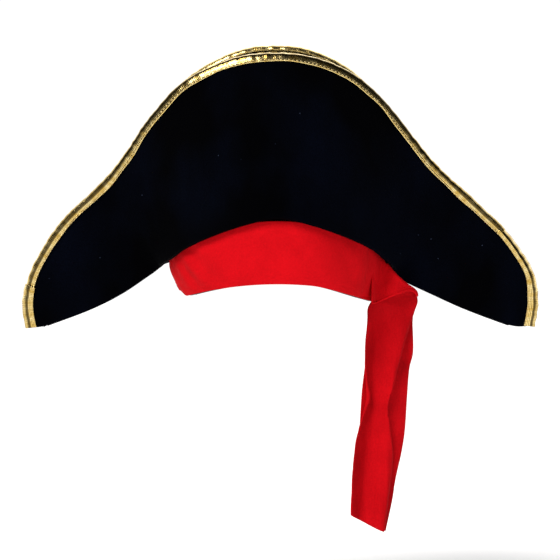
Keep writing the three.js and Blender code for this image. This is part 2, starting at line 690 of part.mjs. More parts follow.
function sashTack() {
  const bar = new THREE.CylinderGeometry(TACK_RADIUS, TACK_RADIUS, TACK_LENGTH, TACK_SIDES);
  bar.deleteAttribute('normal');
  bar.deleteAttribute('uv');
  const mesh = named('sash_tack', facingOut(mergeVertices(bar, MERGE_DISTANCE)), redThread());
  mesh.position.copy(TACK);
  return mesh;
}

// ---------------------------------------------------------------- assembly

function brim() {
  const group = new THREE.Group();
  const front = new Panel(-1, 1, 1);
  const back = new Panel(1, BACK_WIDEN, BACK_RAISE);
  const rightJoint = nearestStation(-RIGHT_JOINT);
  const leftJoint = nearestStation(LEFT_JOINT);
  const edgeLength = front.upper.getLength() / 2;
  const gap = JOINT_GAP / edgeLength;
  for (const [name, panel] of [['front', front], ['back', back]]) {
    group.add(named(`${name}_brim_velvet`, brimLayer(panel, VELVET_SPAN), blackVelvet()));
    group.add(named(`${name}_brim_foam`, brimLayer(panel, FOAM_SPAN), blackFoam()));
    group.add(named(`${name}_brim_lining`, brimLayer(panel, LINING_SPAN), blackVelvet()));
    const binding = edgeBinding(panel, rightJoint + gap, leftJoint - gap);
    group.add(named(`${name}_edge_binding`, binding, goldLame()));
    const thread = bindingThread(panel, rightJoint + 2 * gap, leftJoint - 2 * gap);
    group.add(named(`${name}_binding_thread`, thread, goldThread()));
  }
  group.add(named('right_tip_binding', tipBinding(front, back, -1, rightJoint), goldLame()));
  group.add(named('left_tip_binding', tipBinding(front, back, leftJoint, 1), goldLame()));
  group.add(named('right_keel_tape', keelTape(front, back, -1), blackVelvet()));
  group.add(named('left_keel_tape', keelTape(front, back, 1), blackVelvet()));
  return group;
}

function crown() {
  const group = new THREE.Group();
  const layers = bandOffsets();
  const side = crownBand(CROWN_SIDE_START, CROWN_SEAM_HEIGHT, layers.crown);
  const stiffener = crownBand(STIFFENER_START, STIFFENER_HEIGHT, layers.stiffener);
  const sweatband = crownBand(SWEATBAND_START, SWEATBAND_HEIGHT, layers.sweatband);
  group.add(named('crown_side', side, blackVelvet()));
  group.add(named('crown_top', crownTop(layers.crown), blackVelvet()));
  group.add(named('crown_lining', crownLining(layers.lining), blackLining()));
  group.add(named('headband_stiffener', stiffener, blackBuckram()));
  group.add(named('sweatband', sweatband, blackTwill()));
  group.add(named('crown_seam_thread', crownSeamThread(), blackThread()));
  group.add(named('care_label', careLabel(), whiteSatin()));
  return group;
}

function sash() {
  const group = new THREE.Group();
  const apart = (TAIL_THICK + TAIL_GAP) / 2;
  group.add(named('sash_band', sashBand(), redCrepe()));
  group.add(named('sash_fold', sashFold(), redCrepe()));
  group.add(named('sash_rear_end', sashRearEnd(), redCrepe()));
  group.add(named('sash_tail_front', sashTail(FRONT_TAIL_SHAPE, -apart), redCrepe()));
  group.add(named('sash_tail_back', sashTail(BACK_TAIL_SHAPE, apart), redCrepe()));
  group.add(sashTack());
  return group;
}

const hat = new THREE.Group();
hat.add(brim(), crown(), sash());

export default hat;
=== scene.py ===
"""A costume pirate hat: velveteen brim panels over foam, gold lame binding, soft crown and red crepe sash.

Shapes are worked out in millimetres and put into meshes in metres. +X is the wearer's left, -Y is the
front of the hat and +Z is up, with the origin at the centre of the head opening.
"""

import logging
import math
from dataclasses import dataclass
from enum import Enum

import bpy
import numpy as np
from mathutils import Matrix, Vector


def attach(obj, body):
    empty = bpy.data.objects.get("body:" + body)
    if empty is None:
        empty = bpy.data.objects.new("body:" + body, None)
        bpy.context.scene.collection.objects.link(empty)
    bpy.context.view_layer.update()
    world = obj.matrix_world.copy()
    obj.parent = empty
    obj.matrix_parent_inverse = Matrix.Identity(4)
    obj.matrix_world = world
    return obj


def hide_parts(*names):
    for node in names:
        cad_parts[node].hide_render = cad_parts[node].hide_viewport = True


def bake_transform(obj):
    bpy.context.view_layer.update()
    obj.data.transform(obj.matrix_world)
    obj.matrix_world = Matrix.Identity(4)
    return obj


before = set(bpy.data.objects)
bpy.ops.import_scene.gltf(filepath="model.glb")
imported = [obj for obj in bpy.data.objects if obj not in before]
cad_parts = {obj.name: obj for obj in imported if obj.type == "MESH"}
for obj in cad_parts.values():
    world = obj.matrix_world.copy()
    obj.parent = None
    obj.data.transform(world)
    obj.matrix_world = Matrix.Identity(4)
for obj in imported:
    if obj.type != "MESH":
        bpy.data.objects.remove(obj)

MM = 0.001
SPAN_SAMPLES = 60  # samples of a smooth line between two of its points
WAVE_PERIOD = math.pi / 10  # distance between the ridges of a wave texture at scale one
SHIFT = 0.01  # step of the central differences on a brim panel
log = logging.getLogger("hat")

Array = np.ndarray
Piece = bpy.types.Object
Socket = bpy.types.NodeSocket
Material = bpy.types.Material


class Side(Enum):
    """The two brim panels, with the direction that each one's outer face looks in along Y."""

    FRONT = -1
    BACK = 1


class Held(Enum):
    """How a sheet of cloth is held."""

    STRETCHED = "stretched"
    FOLDED = "folded"
    HUNG = "hung"
    LAID = "laid"


# ------------------------------------------------------------------ curves and grids


def unit(vectors: Array) -> Array:
    """Vectors scaled to length one along the last axis."""
    return vectors / np.maximum(np.linalg.norm(vectors, axis=-1, keepdims=True), 1e-9)


def smoothstep(x: Array, low: float, high: float) -> Array:
    """0 below low, 1 above high, and 3t^2 - 2t^3 between them."""
    t = np.clip((np.asarray(x, float) - low) / (high - low), 0, 1)
    return t * t * (3 - 2 * t)


def smooth_line(points: Array) -> Array:
    """A smooth line through points, one row each: the Catmull-Rom cubic, its ends carried straight on."""
    p = np.vstack([2 * points[0] - points[1], points, 2 * points[-1] - points[-2]])
    t = np.linspace(0, 1, SPAN_SAMPLES, endpoint=False)[None, :, None]
    a, b, c, d = (p[k : len(p) - 3 + k][:, None, :] for k in range(4))
    cubic = b + 0.5 * (c - a) * t + (a - 2.5 * b + 2 * c - 0.5 * d) * t**2
    cubic = cubic + (1.5 * b - 0.5 * a - 1.5 * c + 0.5 * d) * t**3
    return np.vstack([cubic.reshape(-1, points.shape[1]), points[-1:]])


def along(line: Array, share: Array) -> Array:
    """Points at shares of a line's length, 0 to 1, between its samples in proportion."""
    steps = np.linalg.norm(np.diff(line, axis=0), axis=1)
    at = np.concatenate([[0], np.cumsum(steps)])
    where = np.clip(share, 0, 1) * at[-1]
    return np.stack([np.interp(where, at, line[:, k]) for k in range(line.shape[1])], axis=-1)


def by_height(rows: Array, z: Array) -> Array:
    """The columns of a table of [z, value, ...] rows, smoothed, at heights z."""
    line = smooth_line(np.asarray(rows, float))
    line = line[np.argsort(line[:, 0])]
    return np.stack([np.interp(z, line[:, 0], column) for column in line[:, 1:].T], axis=-1)


def ripple(x: Array, y: Array, seed: int, waves: int = 7) -> Array:
    """Soft irregular relief, about -1 to 1: the mean of sines of random direction, pace and phase.

    Args:
        x: First coordinate, one cycle per unit at the middle pace.
        y: Second coordinate.
        seed: Chooses the sines.
        waves: How many sines are added.

    Returns:
        The relief at each place.
    """
    draw = np.random.default_rng(seed)
    total = np.zeros(np.broadcast(x, y).shape)
    ranges = ((0, math.pi), (0.5, 1.6), (0, 2 * math.pi))
    for turn, pace, phase in zip(*(draw.uniform(low, high, waves) for low, high in ranges)):
        total += np.sin(2 * math.pi * pace * (x * math.cos(turn) + y * math.sin(turn)) + phase)
    return total / math.sqrt(waves)


def bell(x: Array, middle: float, width: float) -> Array:
    """A soft bump of height one: exp(-((x - middle) / width)^2)."""
    return np.exp(-(((x - middle) / width) ** 2))


def swell(share: Array) -> Array:
    """0 at both ends of a span and 1 at its middle: sin(pi share)."""
    return np.sin(math.pi * share)


def travelled(points: Array, axis: int) -> Array:
    """Distance covered along one axis of a grid, averaged over the other."""
    steps = np.linalg.norm(np.diff(points, axis=axis), axis=2).mean(axis=1 - axis)
    return np.concatenate([[0], np.cumsum(steps)])


def grid_normals(points: Array) -> Array:
    """Unit normals of a grid surface: the cross product of its two central differences."""
    return unit(np.cross(np.gradient(points, axis=0), np.gradient(points, axis=1)))


@dataclass(frozen=True)
class Weld:
    """Which ways a grid closes on itself."""

    rows: bool = False
    columns: bool = False


def grid_piece(
    name: str, points: Array, weld: Weld = Weld(), away_from: tuple | None = None
) -> Piece:
    """Makes a mesh object from a grid of points, with a UV map in metres measured on the surface.

    Args:
        name: Name of the piece.
        points: Rows by columns by xyz, in millimetres.
        weld: Whether the last row joins the first, and the last column the first.
        away_from: A point in millimetres that the faces look away from. None for a closed form, whose
            faces are turned by the sign of its volume, sum of a . (b x c) over its faces.

    Returns:
        The object, at the origin, with smooth faces.
    """
    rows, columns = points.shape[:2]
    counts = rows - (not weld.rows), columns - (not weld.columns)
    i, j = (axis.ravel() for axis in np.meshgrid(*map(np.arange, counts), indexing="ij"))
    corners_i = np.stack([i, i + 1, i + 1, i], axis=1)
    corners_j = np.stack([j, j, j + 1, j + 1], axis=1)
    flat = points.reshape(-1, 3)
    faces = (corners_i % rows) * columns + corners_j % columns
    a, b, c = flat[faces[:, 0]], flat[faces[:, 1]], flat[faces[:, 2]]
    if away_from is None:
        signed = np.sum(a * np.cross(b, c)) + np.sum(a * np.cross(c, flat[faces[:, 3]]))
    else:
        signed = np.sum(np.cross(b - a, c - a) * ((a + c) / 2 - np.array(away_from)))
    if signed < 0:
        faces, corners_i, corners_j = faces[:, ::-1], corners_i[:, ::-1], corners_j[:, ::-1]
    closed_rows = np.concatenate([points, points[:1]]) if weld.rows else points
    closed_columns = np.concatenate([points, points[:, :1]], axis=1) if weld.columns else points
    down, over = travelled(closed_rows, 0)[corners_i], travelled(closed_columns, 1)[corners_j]
    uv = np.stack([down, over], axis=-1) * MM
    return mesh_piece(name, flat, faces, uv)


def mesh_piece(name: str, points: Array, faces: Array, uv: Array) -> Piece:
    """Makes a smooth mesh object from points in millimetres, four-cornered faces and a UV for each corner."""
    mesh = bpy.data.meshes.new(name)
    mesh.vertices.add(len(points))
    mesh.vertices.foreach_set("co", (points * MM).astype(np.float32).ravel())
    mesh.loops.add(faces.size)
    mesh.loops.foreach_set("vertex_index", faces.astype(np.int32).ravel())
    mesh.polygons.add(len(faces))
    mesh.polygons.foreach_set("loop_start", np.arange(0, faces.size, faces.shape[1], dtype=np.int32))
    mesh.polygons.foreach_set("use_smooth", np.ones(len(faces), bool))
    mesh.uv_layers.new(name="cloth").data.foreach_set("uv", uv.astype(np.float32).ravel())
    mesh.update(calc_edges=True)
    mesh.validate()
    piece = bpy.data.objects.new(name, mesh)
    bpy.context.scene.collection.objects.link(piece)
    return piece


def close_loop(front: Array, back: Array) -> Array:
    """A grid whose columns run along one face and return along the other."""
    return np.concatenate([front, back[:, ::-1]], axis=1)


def capped(points: Array) -> Array:
    """A grid of closed sections with both ends drawn to their middles, which closes the form."""
    first = np.repeat(points[:1].mean(axis=1, keepdims=True), points.shape[1], axis=1)
    last = np.repeat(points[-1:].mean(axis=1, keepdims=True), points.shape[1], axis=1)
    return np.concatenate([first, points, last])


def thicken(piece: Piece, thickness: float, offset: float = -1.0) -> None:
    """Gives a sheet its thickness in millimetres; offset -1 grows it inwards."""
    shell = piece.modifiers.new("thickness", "SOLIDIFY")
    shell.thickness = thickness * MM
    shell.offset = offset


def stitch_row(
    name: str, path: Array, lift: Array, length: float, gap: float, radius: float
) -> Piece:
    """A row of short stitches along a path, each a bowed spindle of thread.

    A stitch's centre line at share t of its length is path + lift radius (1.2 - 1.6 (2t - 1)^4), and
    its radius there is radius (1 - 0.75 (2t - 1)^6), so both ends dive into the cloth.

    Args:
        name: Name of the piece.
        path: Points along the seam, in millimetres.
        lift: Unit directions out of the cloth at those points.
        length: Length of a stitch.
        gap: Space between two stitches.
        radius: Radius of the thread.

    Returns:
        The object.
    """
    rings, sides = 6, 6
    total = np.linalg.norm(np.diff(path, axis=0), axis=1).sum()
    count = max(int(total / (length + gap)), 1)
    start = np.arange(count) / count
    span = length / total
    t = np.linspace(0, 1, rings)
    share = (start[:, None] + span * t[None, :]).ravel()
    centre = along(path, share).reshape(count, rings, 3)
    at = np.linspace(0, 1, len(path))
    steps = np.linalg.norm(np.diff(path, axis=0), axis=1)
    arc = np.concatenate([[0], np.cumsum(steps)]) / steps.sum()
    out = np.stack([np.interp(np.interp(share, arc, at), at, lift[:, k]) for k in range(3)], axis=-1)
    out = unit(out).reshape(count, rings, 3)
    tangent = unit(np.gradient(centre, axis=1))
    side = unit(np.cross(tangent, out))
    bow = 2 * t - 1
    centre = centre + out * (radius * (1.2 - 1.6 * bow**4))[None, :, None]
    thick = (radius * (1 - 0.75 * bow**6))[None, :, None, None]
    angle = np.arange(sides) * 2 * math.pi / sides
    cos, sin = np.cos(angle)[None, None, :, None], np.sin(angle)[None, None, :, None]
    ring = cos * out[:, :, None] + sin * side[:, :, None]
    points = (centre[:, :, None] + thick * ring).reshape(-1, 3)
    places = np.meshgrid(np.arange(count), np.arange(rings - 1), np.arange(sides), indexing="ij")
    k, i, j = (axis.ravel() for axis in places)
    base = k * rings * sides
    near, far = base + i * sides, base + (i + 1) * sides
    nxt = (j + 1) % sides
    faces = np.stack([near + j, near + nxt, far + nxt, far + j], axis=1)
    uv_u = np.stack([i, i, i + 1, i + 1], axis=1) / (rings - 1) * length
    uv_v = np.stack([j, j + 1, j + 1, j], axis=1) / sides * 2 * math.pi * radius
    return mesh_piece(name, points, faces, np.stack([uv_u, uv_v], axis=-1) * MM)


# ------------------------------------------------------------------ finishes


def linear_colour(code: str) -> tuple[float, float, float, float]:
    """An sRGB hex colour as linear red, green, blue and alpha."""
    values = np.array([int(code[k : k + 2], 16) for k in (1, 3, 5)]) / 255
    linear = np.where(values <= 0.04045, values / 12.92, ((values + 0.055) / 1.055) ** 2.4)
    return (*linear.tolist(), 1.0)


def add_node(
    tree: bpy.types.NodeTree, kind: str, inputs: dict | None = None, **settings: object
) -> bpy.types.Node:
    """Adds one shader node.

    Args:
        tree: The node tree.
        kind: The node's type name.
        inputs: Input names or places, each with a value or with the socket that feeds it.
        settings: The node's own settings.

    Returns:
        The node.
    """
    node = tree.nodes.new(kind)
    for key, value in settings.items():
        setattr(node, key, value)
    for key, value in (inputs or {}).items():
        if isinstance(value, Socket):
            tree.links.new(value, node.inputs[key])
        else:
            node.inputs[key].default_value = value
    return node


@dataclass
class Canvas:
    """A material's node tree with the patterns that cloth finishes share."""

    name: str

    def __post_init__(self) -> None:
        """Makes the empty material and its two sets of coordinates."""
        self.material = bpy.data.materials.new(self.name)
        self.material.use_nodes = True
        self.tree = self.material.node_tree
        self.tree.nodes.clear()
        self.object_at = add_node(self.tree, "ShaderNodeTexCoord").outputs["Object"]
        self.cloth_at = add_node(self.tree, "ShaderNodeUVMap", uv_map="cloth").outputs["UV"]

    def mapped(self, source: Socket, scale: tuple, turn: float = 0.0) -> Socket:
        """Coordinates scaled along each axis and turned about Z."""
        inputs = {"Vector": source, "Rotation": (0, 0, turn), "Scale": scale}
        return add_node(self.tree, "ShaderNodeMapping", inputs).outputs["Vector"]

    def noise(self, source: Socket, grain: float, detail: float, stretch: tuple = (1, 1, 1)) -> Socket:
        """Noise whose grain is a size in millimetres."""
        at = self.mapped(source, stretch)
        inputs = {"Vector": at, "Scale": 1 / (grain * MM), "Detail": detail}
        return add_node(self.tree, "ShaderNodeTexNoise", inputs).outputs["Fac"]

    def lines(self, source: Socket, spacing: float, turn: float = 0.0) -> Socket:
        """Parallel soft ridges, a spacing in millimetres apart, across the turned X axis."""
        at = self.mapped(source, (1, 1, 1), turn)
        inputs = {"Vector": at, "Scale": WAVE_PERIOD / (spacing * MM)}
        return add_node(self.tree, "ShaderNodeTexWave", inputs, wave_type="BANDS").outputs["Fac"]

    def cells(self, size: float) -> Socket:
        """Distance to the nearest of many points strewn a size in millimetres apart."""
        inputs = {"Vector": self.object_at, "Scale": 1 / (size * MM)}
        return add_node(self.tree, "ShaderNodeTexVoronoi", inputs).outputs["Distance"]

    def math(self, operation: str, first: object, second: object) -> Socket:
        """One arithmetic step."""
        return add_node(self.tree, "ShaderNodeMath", {0: first, 1: second}, operation=operation).outputs[0]

    def span(self, value: Socket, source: tuple, target: tuple) -> Socket:
        """A value carried from one range to another, and held at its ends."""
        inputs = {"Value": value, 1: source[0], 2: source[1], 3: target[0], 4: target[1]}
        return add_node(self.tree, "ShaderNodeMapRange", inputs).outputs[0]

    def blend(self, share: Socket, first: object, second: object) -> Socket:
        """A colour between two, given as hex codes or sockets."""
        inputs = {0: share}
        for key, value in ((6, first), (7, second)):
            inputs[key] = linear_colour(value) if isinstance(value, str) else value
        return add_node(self.tree, "ShaderNodeMix", inputs, data_type="RGBA").outputs[2]

    def bump(self, height: Socket, depth: float, strength: float = 1.0) -> Socket:
        """Surface relief of a depth in millimetres."""
        inputs = {"Height": height, "Distance": depth * MM, "Strength": strength}
        return add_node(self.tree, "ShaderNodeBump", inputs).outputs["Normal"]

    def finish(
        self, colour: Socket, roughness: object, normal: Socket, **constants: object
    ) -> Material:
        """Joins the patterns to the surface shader; constants are its fixed values, with _ for a space."""
        inputs = {"Base Color": colour, "Roughness": roughness, "Normal": normal}
        inputs.update({key.replace("_", " "): value for key, value in constants.items()})
        shader = add_node(self.tree, "ShaderNodeBsdfPrincipled", inputs)
        add_node(self.tree, "ShaderNodeOutputMaterial", {"Surface": shader.outputs["BSDF"]})
        return self.material


@dataclass(frozen=True)
class Velveteen:
    """Black cotton velveteen, woven with a short cut pile.

    The pile swallows light, so the face is almost black, with a navy sheen where it is seen edge on, and a
    few specks of lint caught in it. Navy colour in large random patches is painted sheen, standing in for
    where the nap lies flat and catches the light.
    """

    deep: str = "#000001"
    # colour of the painted sheen
    bloom: str = "#02040D"
    lint: str = "#2A3040"
    pile_grain: float = 1.3  # coarser than the real 0.3 mm tufts, so that they show
    pile_depth: float = 0.35
    painted_sheen_patch: float = 70.0
    lint_spacing: float = 16.0
    lint_size: float = 0.028  # share of the lint's spacing

    def make(self) -> Material:
        """Builds the material."""
        c = Canvas("cotton_velveteen")
        pile = c.noise(c.object_at, self.pile_grain, 3)
        patch = c.noise(c.object_at, self.painted_sheen_patch, 3, (1, 1, 0.6))
        # painted sheen: navy colour in random patches, as if the nap caught the light there
        bloom = c.span(patch, (0.42, 0.66), (0, 1))
        painted_sheen = c.math("MULTIPLY", bloom, c.span(pile, (0.3, 0.7), (0.5, 1)))
        near_speck = c.math("LESS_THAN", c.cells(self.lint_spacing), self.lint_size)
        speck = c.math("MULTIPLY", near_speck, c.span(patch, (0.45, 0.55), (0, 1)))
        colour = c.blend(speck, c.blend(painted_sheen, self.deep, self.bloom), self.lint)
        normal = c.bump(pile, self.pile_depth, 0.8)
        return c.finish(colour, 0.92, normal, Sheen_Weight=0.02, Sheen_Roughness=0.35,
                        Sheen_Tint=linear_colour("#141E3C"), Specular_IOR_Level=0.02)


@dataclass(frozen=True)
class GoldLame:
    """Gold lame bias binding: a knit of flat metallic yarn on a brown ground.

    Rows of tiny bright loops run along it with the ground showing between them. It puckers where it is drawn
    round the curve. A painted highlight runs along its turned foot, and a band of painted shade in the crease
    before the fold stands in for the dark reflection there.
    """

    bright: str = "#FFE9A6"
    worn: str = "#D8B45C"
    ground: str = "#5E4010"
    # painted shade: colour of the dark reflection in the crease before the fold
    crease: str = "#241804"
    loop_pitch: float = 1.5  # coarser than the real 0.6 mm loops, so that they show
    row_pitch: float = 1.15
    pucker: float = 5.0
    foot: tuple = (0.7, 1.3)  # where the painted highlight at the foot fades, across the cloth
    # where the band of painted shade in the crease starts and ends, across the cloth
    crease_shade_from: tuple = (4.6, 5.6)
    crease_shade_to: tuple = (7.2, 8.6)
    wander: float = 0.8
    relief: float = 0.4

    def make(self) -> Material:
        """Builds the material."""
        c = Canvas("gold_lame")
        loops = c.lines(c.cloth_at, self.loop_pitch)
        rows = c.lines(c.cloth_at, self.row_pitch, math.pi / 2)
        knit = c.math("MULTIPLY", rows, c.span(loops, (0, 1), (0.45, 1)))
        fleck = c.noise(c.cloth_at, 1.0, 3)
        pucker = c.noise(c.cloth_at, self.pucker, 3, (1, 0.3, 1))
        sparkle = c.span(c.math("ADD", knit, c.math("MULTIPLY", fleck, 0.7)), (0.2, 0.95), (0, 1))
        tone = c.blend(c.span(pucker, (0.35, 0.65), (0, 1)), self.worn, self.bright)
        across = add_node(c.tree, "ShaderNodeSeparateXYZ", {0: c.cloth_at}).outputs["Y"]
        across = c.math("ADD", across, c.math("MULTIPLY", pucker, self.wander * MM))
        spans = (self.foot, self.crease_shade_from, self.crease_shade_to)
        foot, start, end = (tuple(x * MM for x in span) for span in spans)
        # painted highlight: a bright line along the turned foot
        foot = c.span(across, foot, (1, 0))
        # painted shade: a dark band over the crease, standing in for its dark reflection
        crease_shade = c.math("MULTIPLY", c.span(across, start, (0, 1)), c.span(across, end, (1, 0)))
        colour = c.blend(c.math("MAXIMUM", sparkle, foot), self.ground, tone)
        colour = c.blend(c.math("MULTIPLY", crease_shade, 0.85), colour, self.crease)
        height = c.math("ADD", c.math("MULTIPLY", knit, 0.35), pucker)
        roughness = c.span(fleck, (0.3, 0.7), (0.14, 0.26))
        return c.finish(colour, roughness, c.bump(height, self.relief, 0.45), Metallic=1.0)


@dataclass(frozen=True)
class Crepe:
    """Red polyester crepe, piece-dyed and matte.

    A plain weave of twisted yarns gives it a fine pebbled face without gloss, and a faint bloom at its edges.
    Its reverse, on the tails, is a deeper red: a little of that is the reverse taking the dye deeper, and the
    rest is painted shade on the hanging tails.
    """

    name: str = "polyester_crepe"
    red: str = "#CC0914"
    shade: str = "#B4060F"
    yarn: float = 0.9  # coarser than the real 0.35 mm yarns, so that they show
    pebble: float = 1.6
    dye_patch: float = 35.0
    relief: float = 0.12

    def make(self) -> Material:
        """Builds the material."""
        c = Canvas(self.name)
        warp = c.lines(c.cloth_at, self.yarn)
        weft = c.lines(c.cloth_at, self.yarn, math.pi / 2)
        pebble = c.noise(c.object_at, self.pebble, 3)
        weave = c.math("ADD", c.math("MULTIPLY", warp, weft), pebble)
        dye = c.noise(c.object_at, self.dye_patch, 2)
        tone = c.math("ADD", c.math("MULTIPLY", dye, 0.6), c.math("MULTIPLY", pebble, 0.4))
        colour = c.blend(c.span(tone, (0.35, 0.65), (0, 1)), self.shade, self.red)
        return c.finish(colour, 0.85, c.bump(weave, self.relief, 0.5), Sheen_Weight=0.01, Sheen_Roughness=0.4,
                        Sheen_Tint=linear_colour("#FF2020"), Specular_IOR_Level=0.04)


@dataclass(frozen=True)
class WovenCloth:
    """A plain or twill woven cloth in one colour, for linings, tapes and labels.

    The yarns show as fine ridges, straight for a plain weave and slanted for twill.
    """

    name: str
    light: str
    dark: str
    yarn: float
    slant: float = 0.0
    roughness: float = 0.8
    depth: float = 0.15
    wear_patch: float = 20.0

    def make(self) -> Material:
        """Builds the material."""
        c = Canvas(self.name)
        first = c.lines(c.cloth_at, self.yarn, self.slant)
        second = c.lines(c.cloth_at, self.yarn * 1.1, self.slant + math.pi / 2)
        weave = c.math("ADD", first, c.math("MULTIPLY", second, 0.5 if self.slant == 0 else 0.15))
        wear = c.noise(c.object_at, self.wear_patch, 2)
        colour = c.blend(c.math("MULTIPLY", weave, wear), self.dark, self.light)
        return c.finish(colour, self.roughness, c.bump(weave, self.depth, 0.6), Specular_IOR_Level=0.25)


@dataclass(frozen=True)
class Thread:
    """Spun sewing thread: two plies twisted together, which show as slanted ridges."""

    name: str
    light: str
    dark: str
    roughness: float = 0.6
    metallic: float = 0.0
    ply: float = 0.5
    twist: float = 35.0

    def make(self) -> Material:
        """Builds the material."""
        c = Canvas(self.name)
        twist = c.lines(c.cloth_at, self.ply, math.radians(self.twist))
        colour = c.blend(twist, self.dark, self.light)
        return c.finish(colour, self.roughness, c.bump(twist, 0.08, 0.6), Metallic=self.metallic)


@dataclass(frozen=True)
class Foam:
    """Black polyurethane foam sheet, cut, with its small open cells showing as pits."""

    cell: float = 1.2

    def make(self) -> Material:
        """Builds the material."""
        c = Canvas("polyurethane_foam")
        cells = c.cells(self.cell)
        colour = c.blend(cells, "#0C0C0D", "#26262A")
        return c.finish(colour, 0.95, c.bump(cells, 0.5, 0.8), Specular_IOR_Level=0.2)


@dataclass(frozen=True)
class Wardrobe:
    """Every finish of the hat, made once."""

    velvet: Material
    gold: Material
    gold_thread: Material
    red: Material
    red_reverse: Material
    red_thread: Material
    lining: Material
    twill: Material
    buckram: Material
    black_thread: Material
    label: Material
    foam: Material

    @classmethod
    def make(cls) -> "Wardrobe":
        """Builds the finishes."""
        twill, satin = math.radians(45), math.radians(20)
        return cls(
            velvet=Velveteen().make(),
            gold=GoldLame().make(),
            gold_thread=Thread("metallic_thread", "#FFEFB4", "#C9A050", 0.4, 0.7).make(),
            red=Crepe().make(),
            # deeper red for the tails: partly the reverse's deeper dye, partly painted shade on the tails
            red_reverse=Crepe("polyester_crepe_reverse_shaded", "#BC0711", "#A2040C").make(),
            red_thread=Thread("polyester_thread_red", "#C40A1A", "#7C0510").make(),
            lining=WovenCloth("acetate_lining", "#16161A", "#08080A", 0.8, roughness=0.45).make(),
            twill=WovenCloth("cotton_twill_tape", "#1D1D21", "#0C0C0E", 1.2, twill, 0.8, 0.25).make(),
            buckram=WovenCloth("cotton_buckram", "#2A2A2A", "#0B0B0B", 1.8, depth=0.5).make(),
            black_thread=Thread("polyester_thread_black", "#141417", "#070708").make(),
            label=WovenCloth("woven_satin_label", "#EFECE4", "#CFC9BD", 0.7, satin, 0.5, 0.1).make(),
            foam=Foam().make(),
        )


@dataclass(frozen=True)
class Dress:
    """What a finished piece is made of, rides on and stands for."""

    material: Material
    slot: str
    nodes: tuple
    body: str = "root"

    def put_on(self, piece: Piece) -> Piece:
        """Gives the piece its material and body, hides the CAD nodes that it stands for, and reports it."""
        piece.data.materials.append(self.material)
        if self.body:
            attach(piece, self.body)
        if self.nodes:
            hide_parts(*self.nodes)
        meant = ", ".join(self.nodes) or "nothing in CAD"
        log.info("%s: %d faces, for %s", piece.name, len(piece.data.polygons), meant)
        return piece


# ------------------------------------------------------------------ the hat's shape


# A panel's cut edge as [x, z]. Hand cutting and sewing left the two sides slightly different.
CUT_EDGE = np.array([
    [-210.8, -25.1], [-212.5, -3.1], [-207.4, 18.4], [-197.2, 38.0], [-184.9, 56.5], [-170.1, 72.9],
    [-153.6, 87.7], [-137.4, 102.9], [-123.7, 120.3], [-111.0, 138.4], [-97.6, 156.1], [-82.2, 172.0],
    [-64.1, 184.7], [-43.7, 193.3], [-22.2, 198.7], [-0.1, 199.8], [22.0, 197.9], [43.3, 191.9],
    [62.9, 181.6], [79.9, 167.5], [94.7, 151.0], [108.6, 133.8], [122.8, 116.7], [138.6, 101.2],
    [155.5, 86.8], [172.0, 72.1], [188.0, 56.8], [201.7, 39.3], [212.7, 20.2], [216.4, -1.6], [214.3, -23.6],
])
# The panels' lower edge over the sash, from the front to the side, as [degrees from the side, z].
OVER_SASH = np.array([[90, 63], [73, 57.6], [54.5, 49], [36.5, 40.5], [21.8, 33]])
# The same edge from there to the tip, as [x beyond the sash, y, z].
BESIDE_SASH = np.array([
    [0.9, -20, 28], [3.6, -9, 24.5], [10, -2.4, 18.6], [20, -0.8, 11.4], [40, -0.6, 1.5], [66, -0.6, -10.5],
])
# How much higher sewing left each of those points and the tip, at the wearer's left and at the right.
LEFT_LIFT = np.array([0, 0, 0, 0, 0, 0, 0, 0, 1.6, 2.0, 2.0, 0.4])
RIGHT_LIFT = np.array([0, 0, 0, 0, 0.5, 3, 5, 7, 5.5, 1.4, 0, 0])


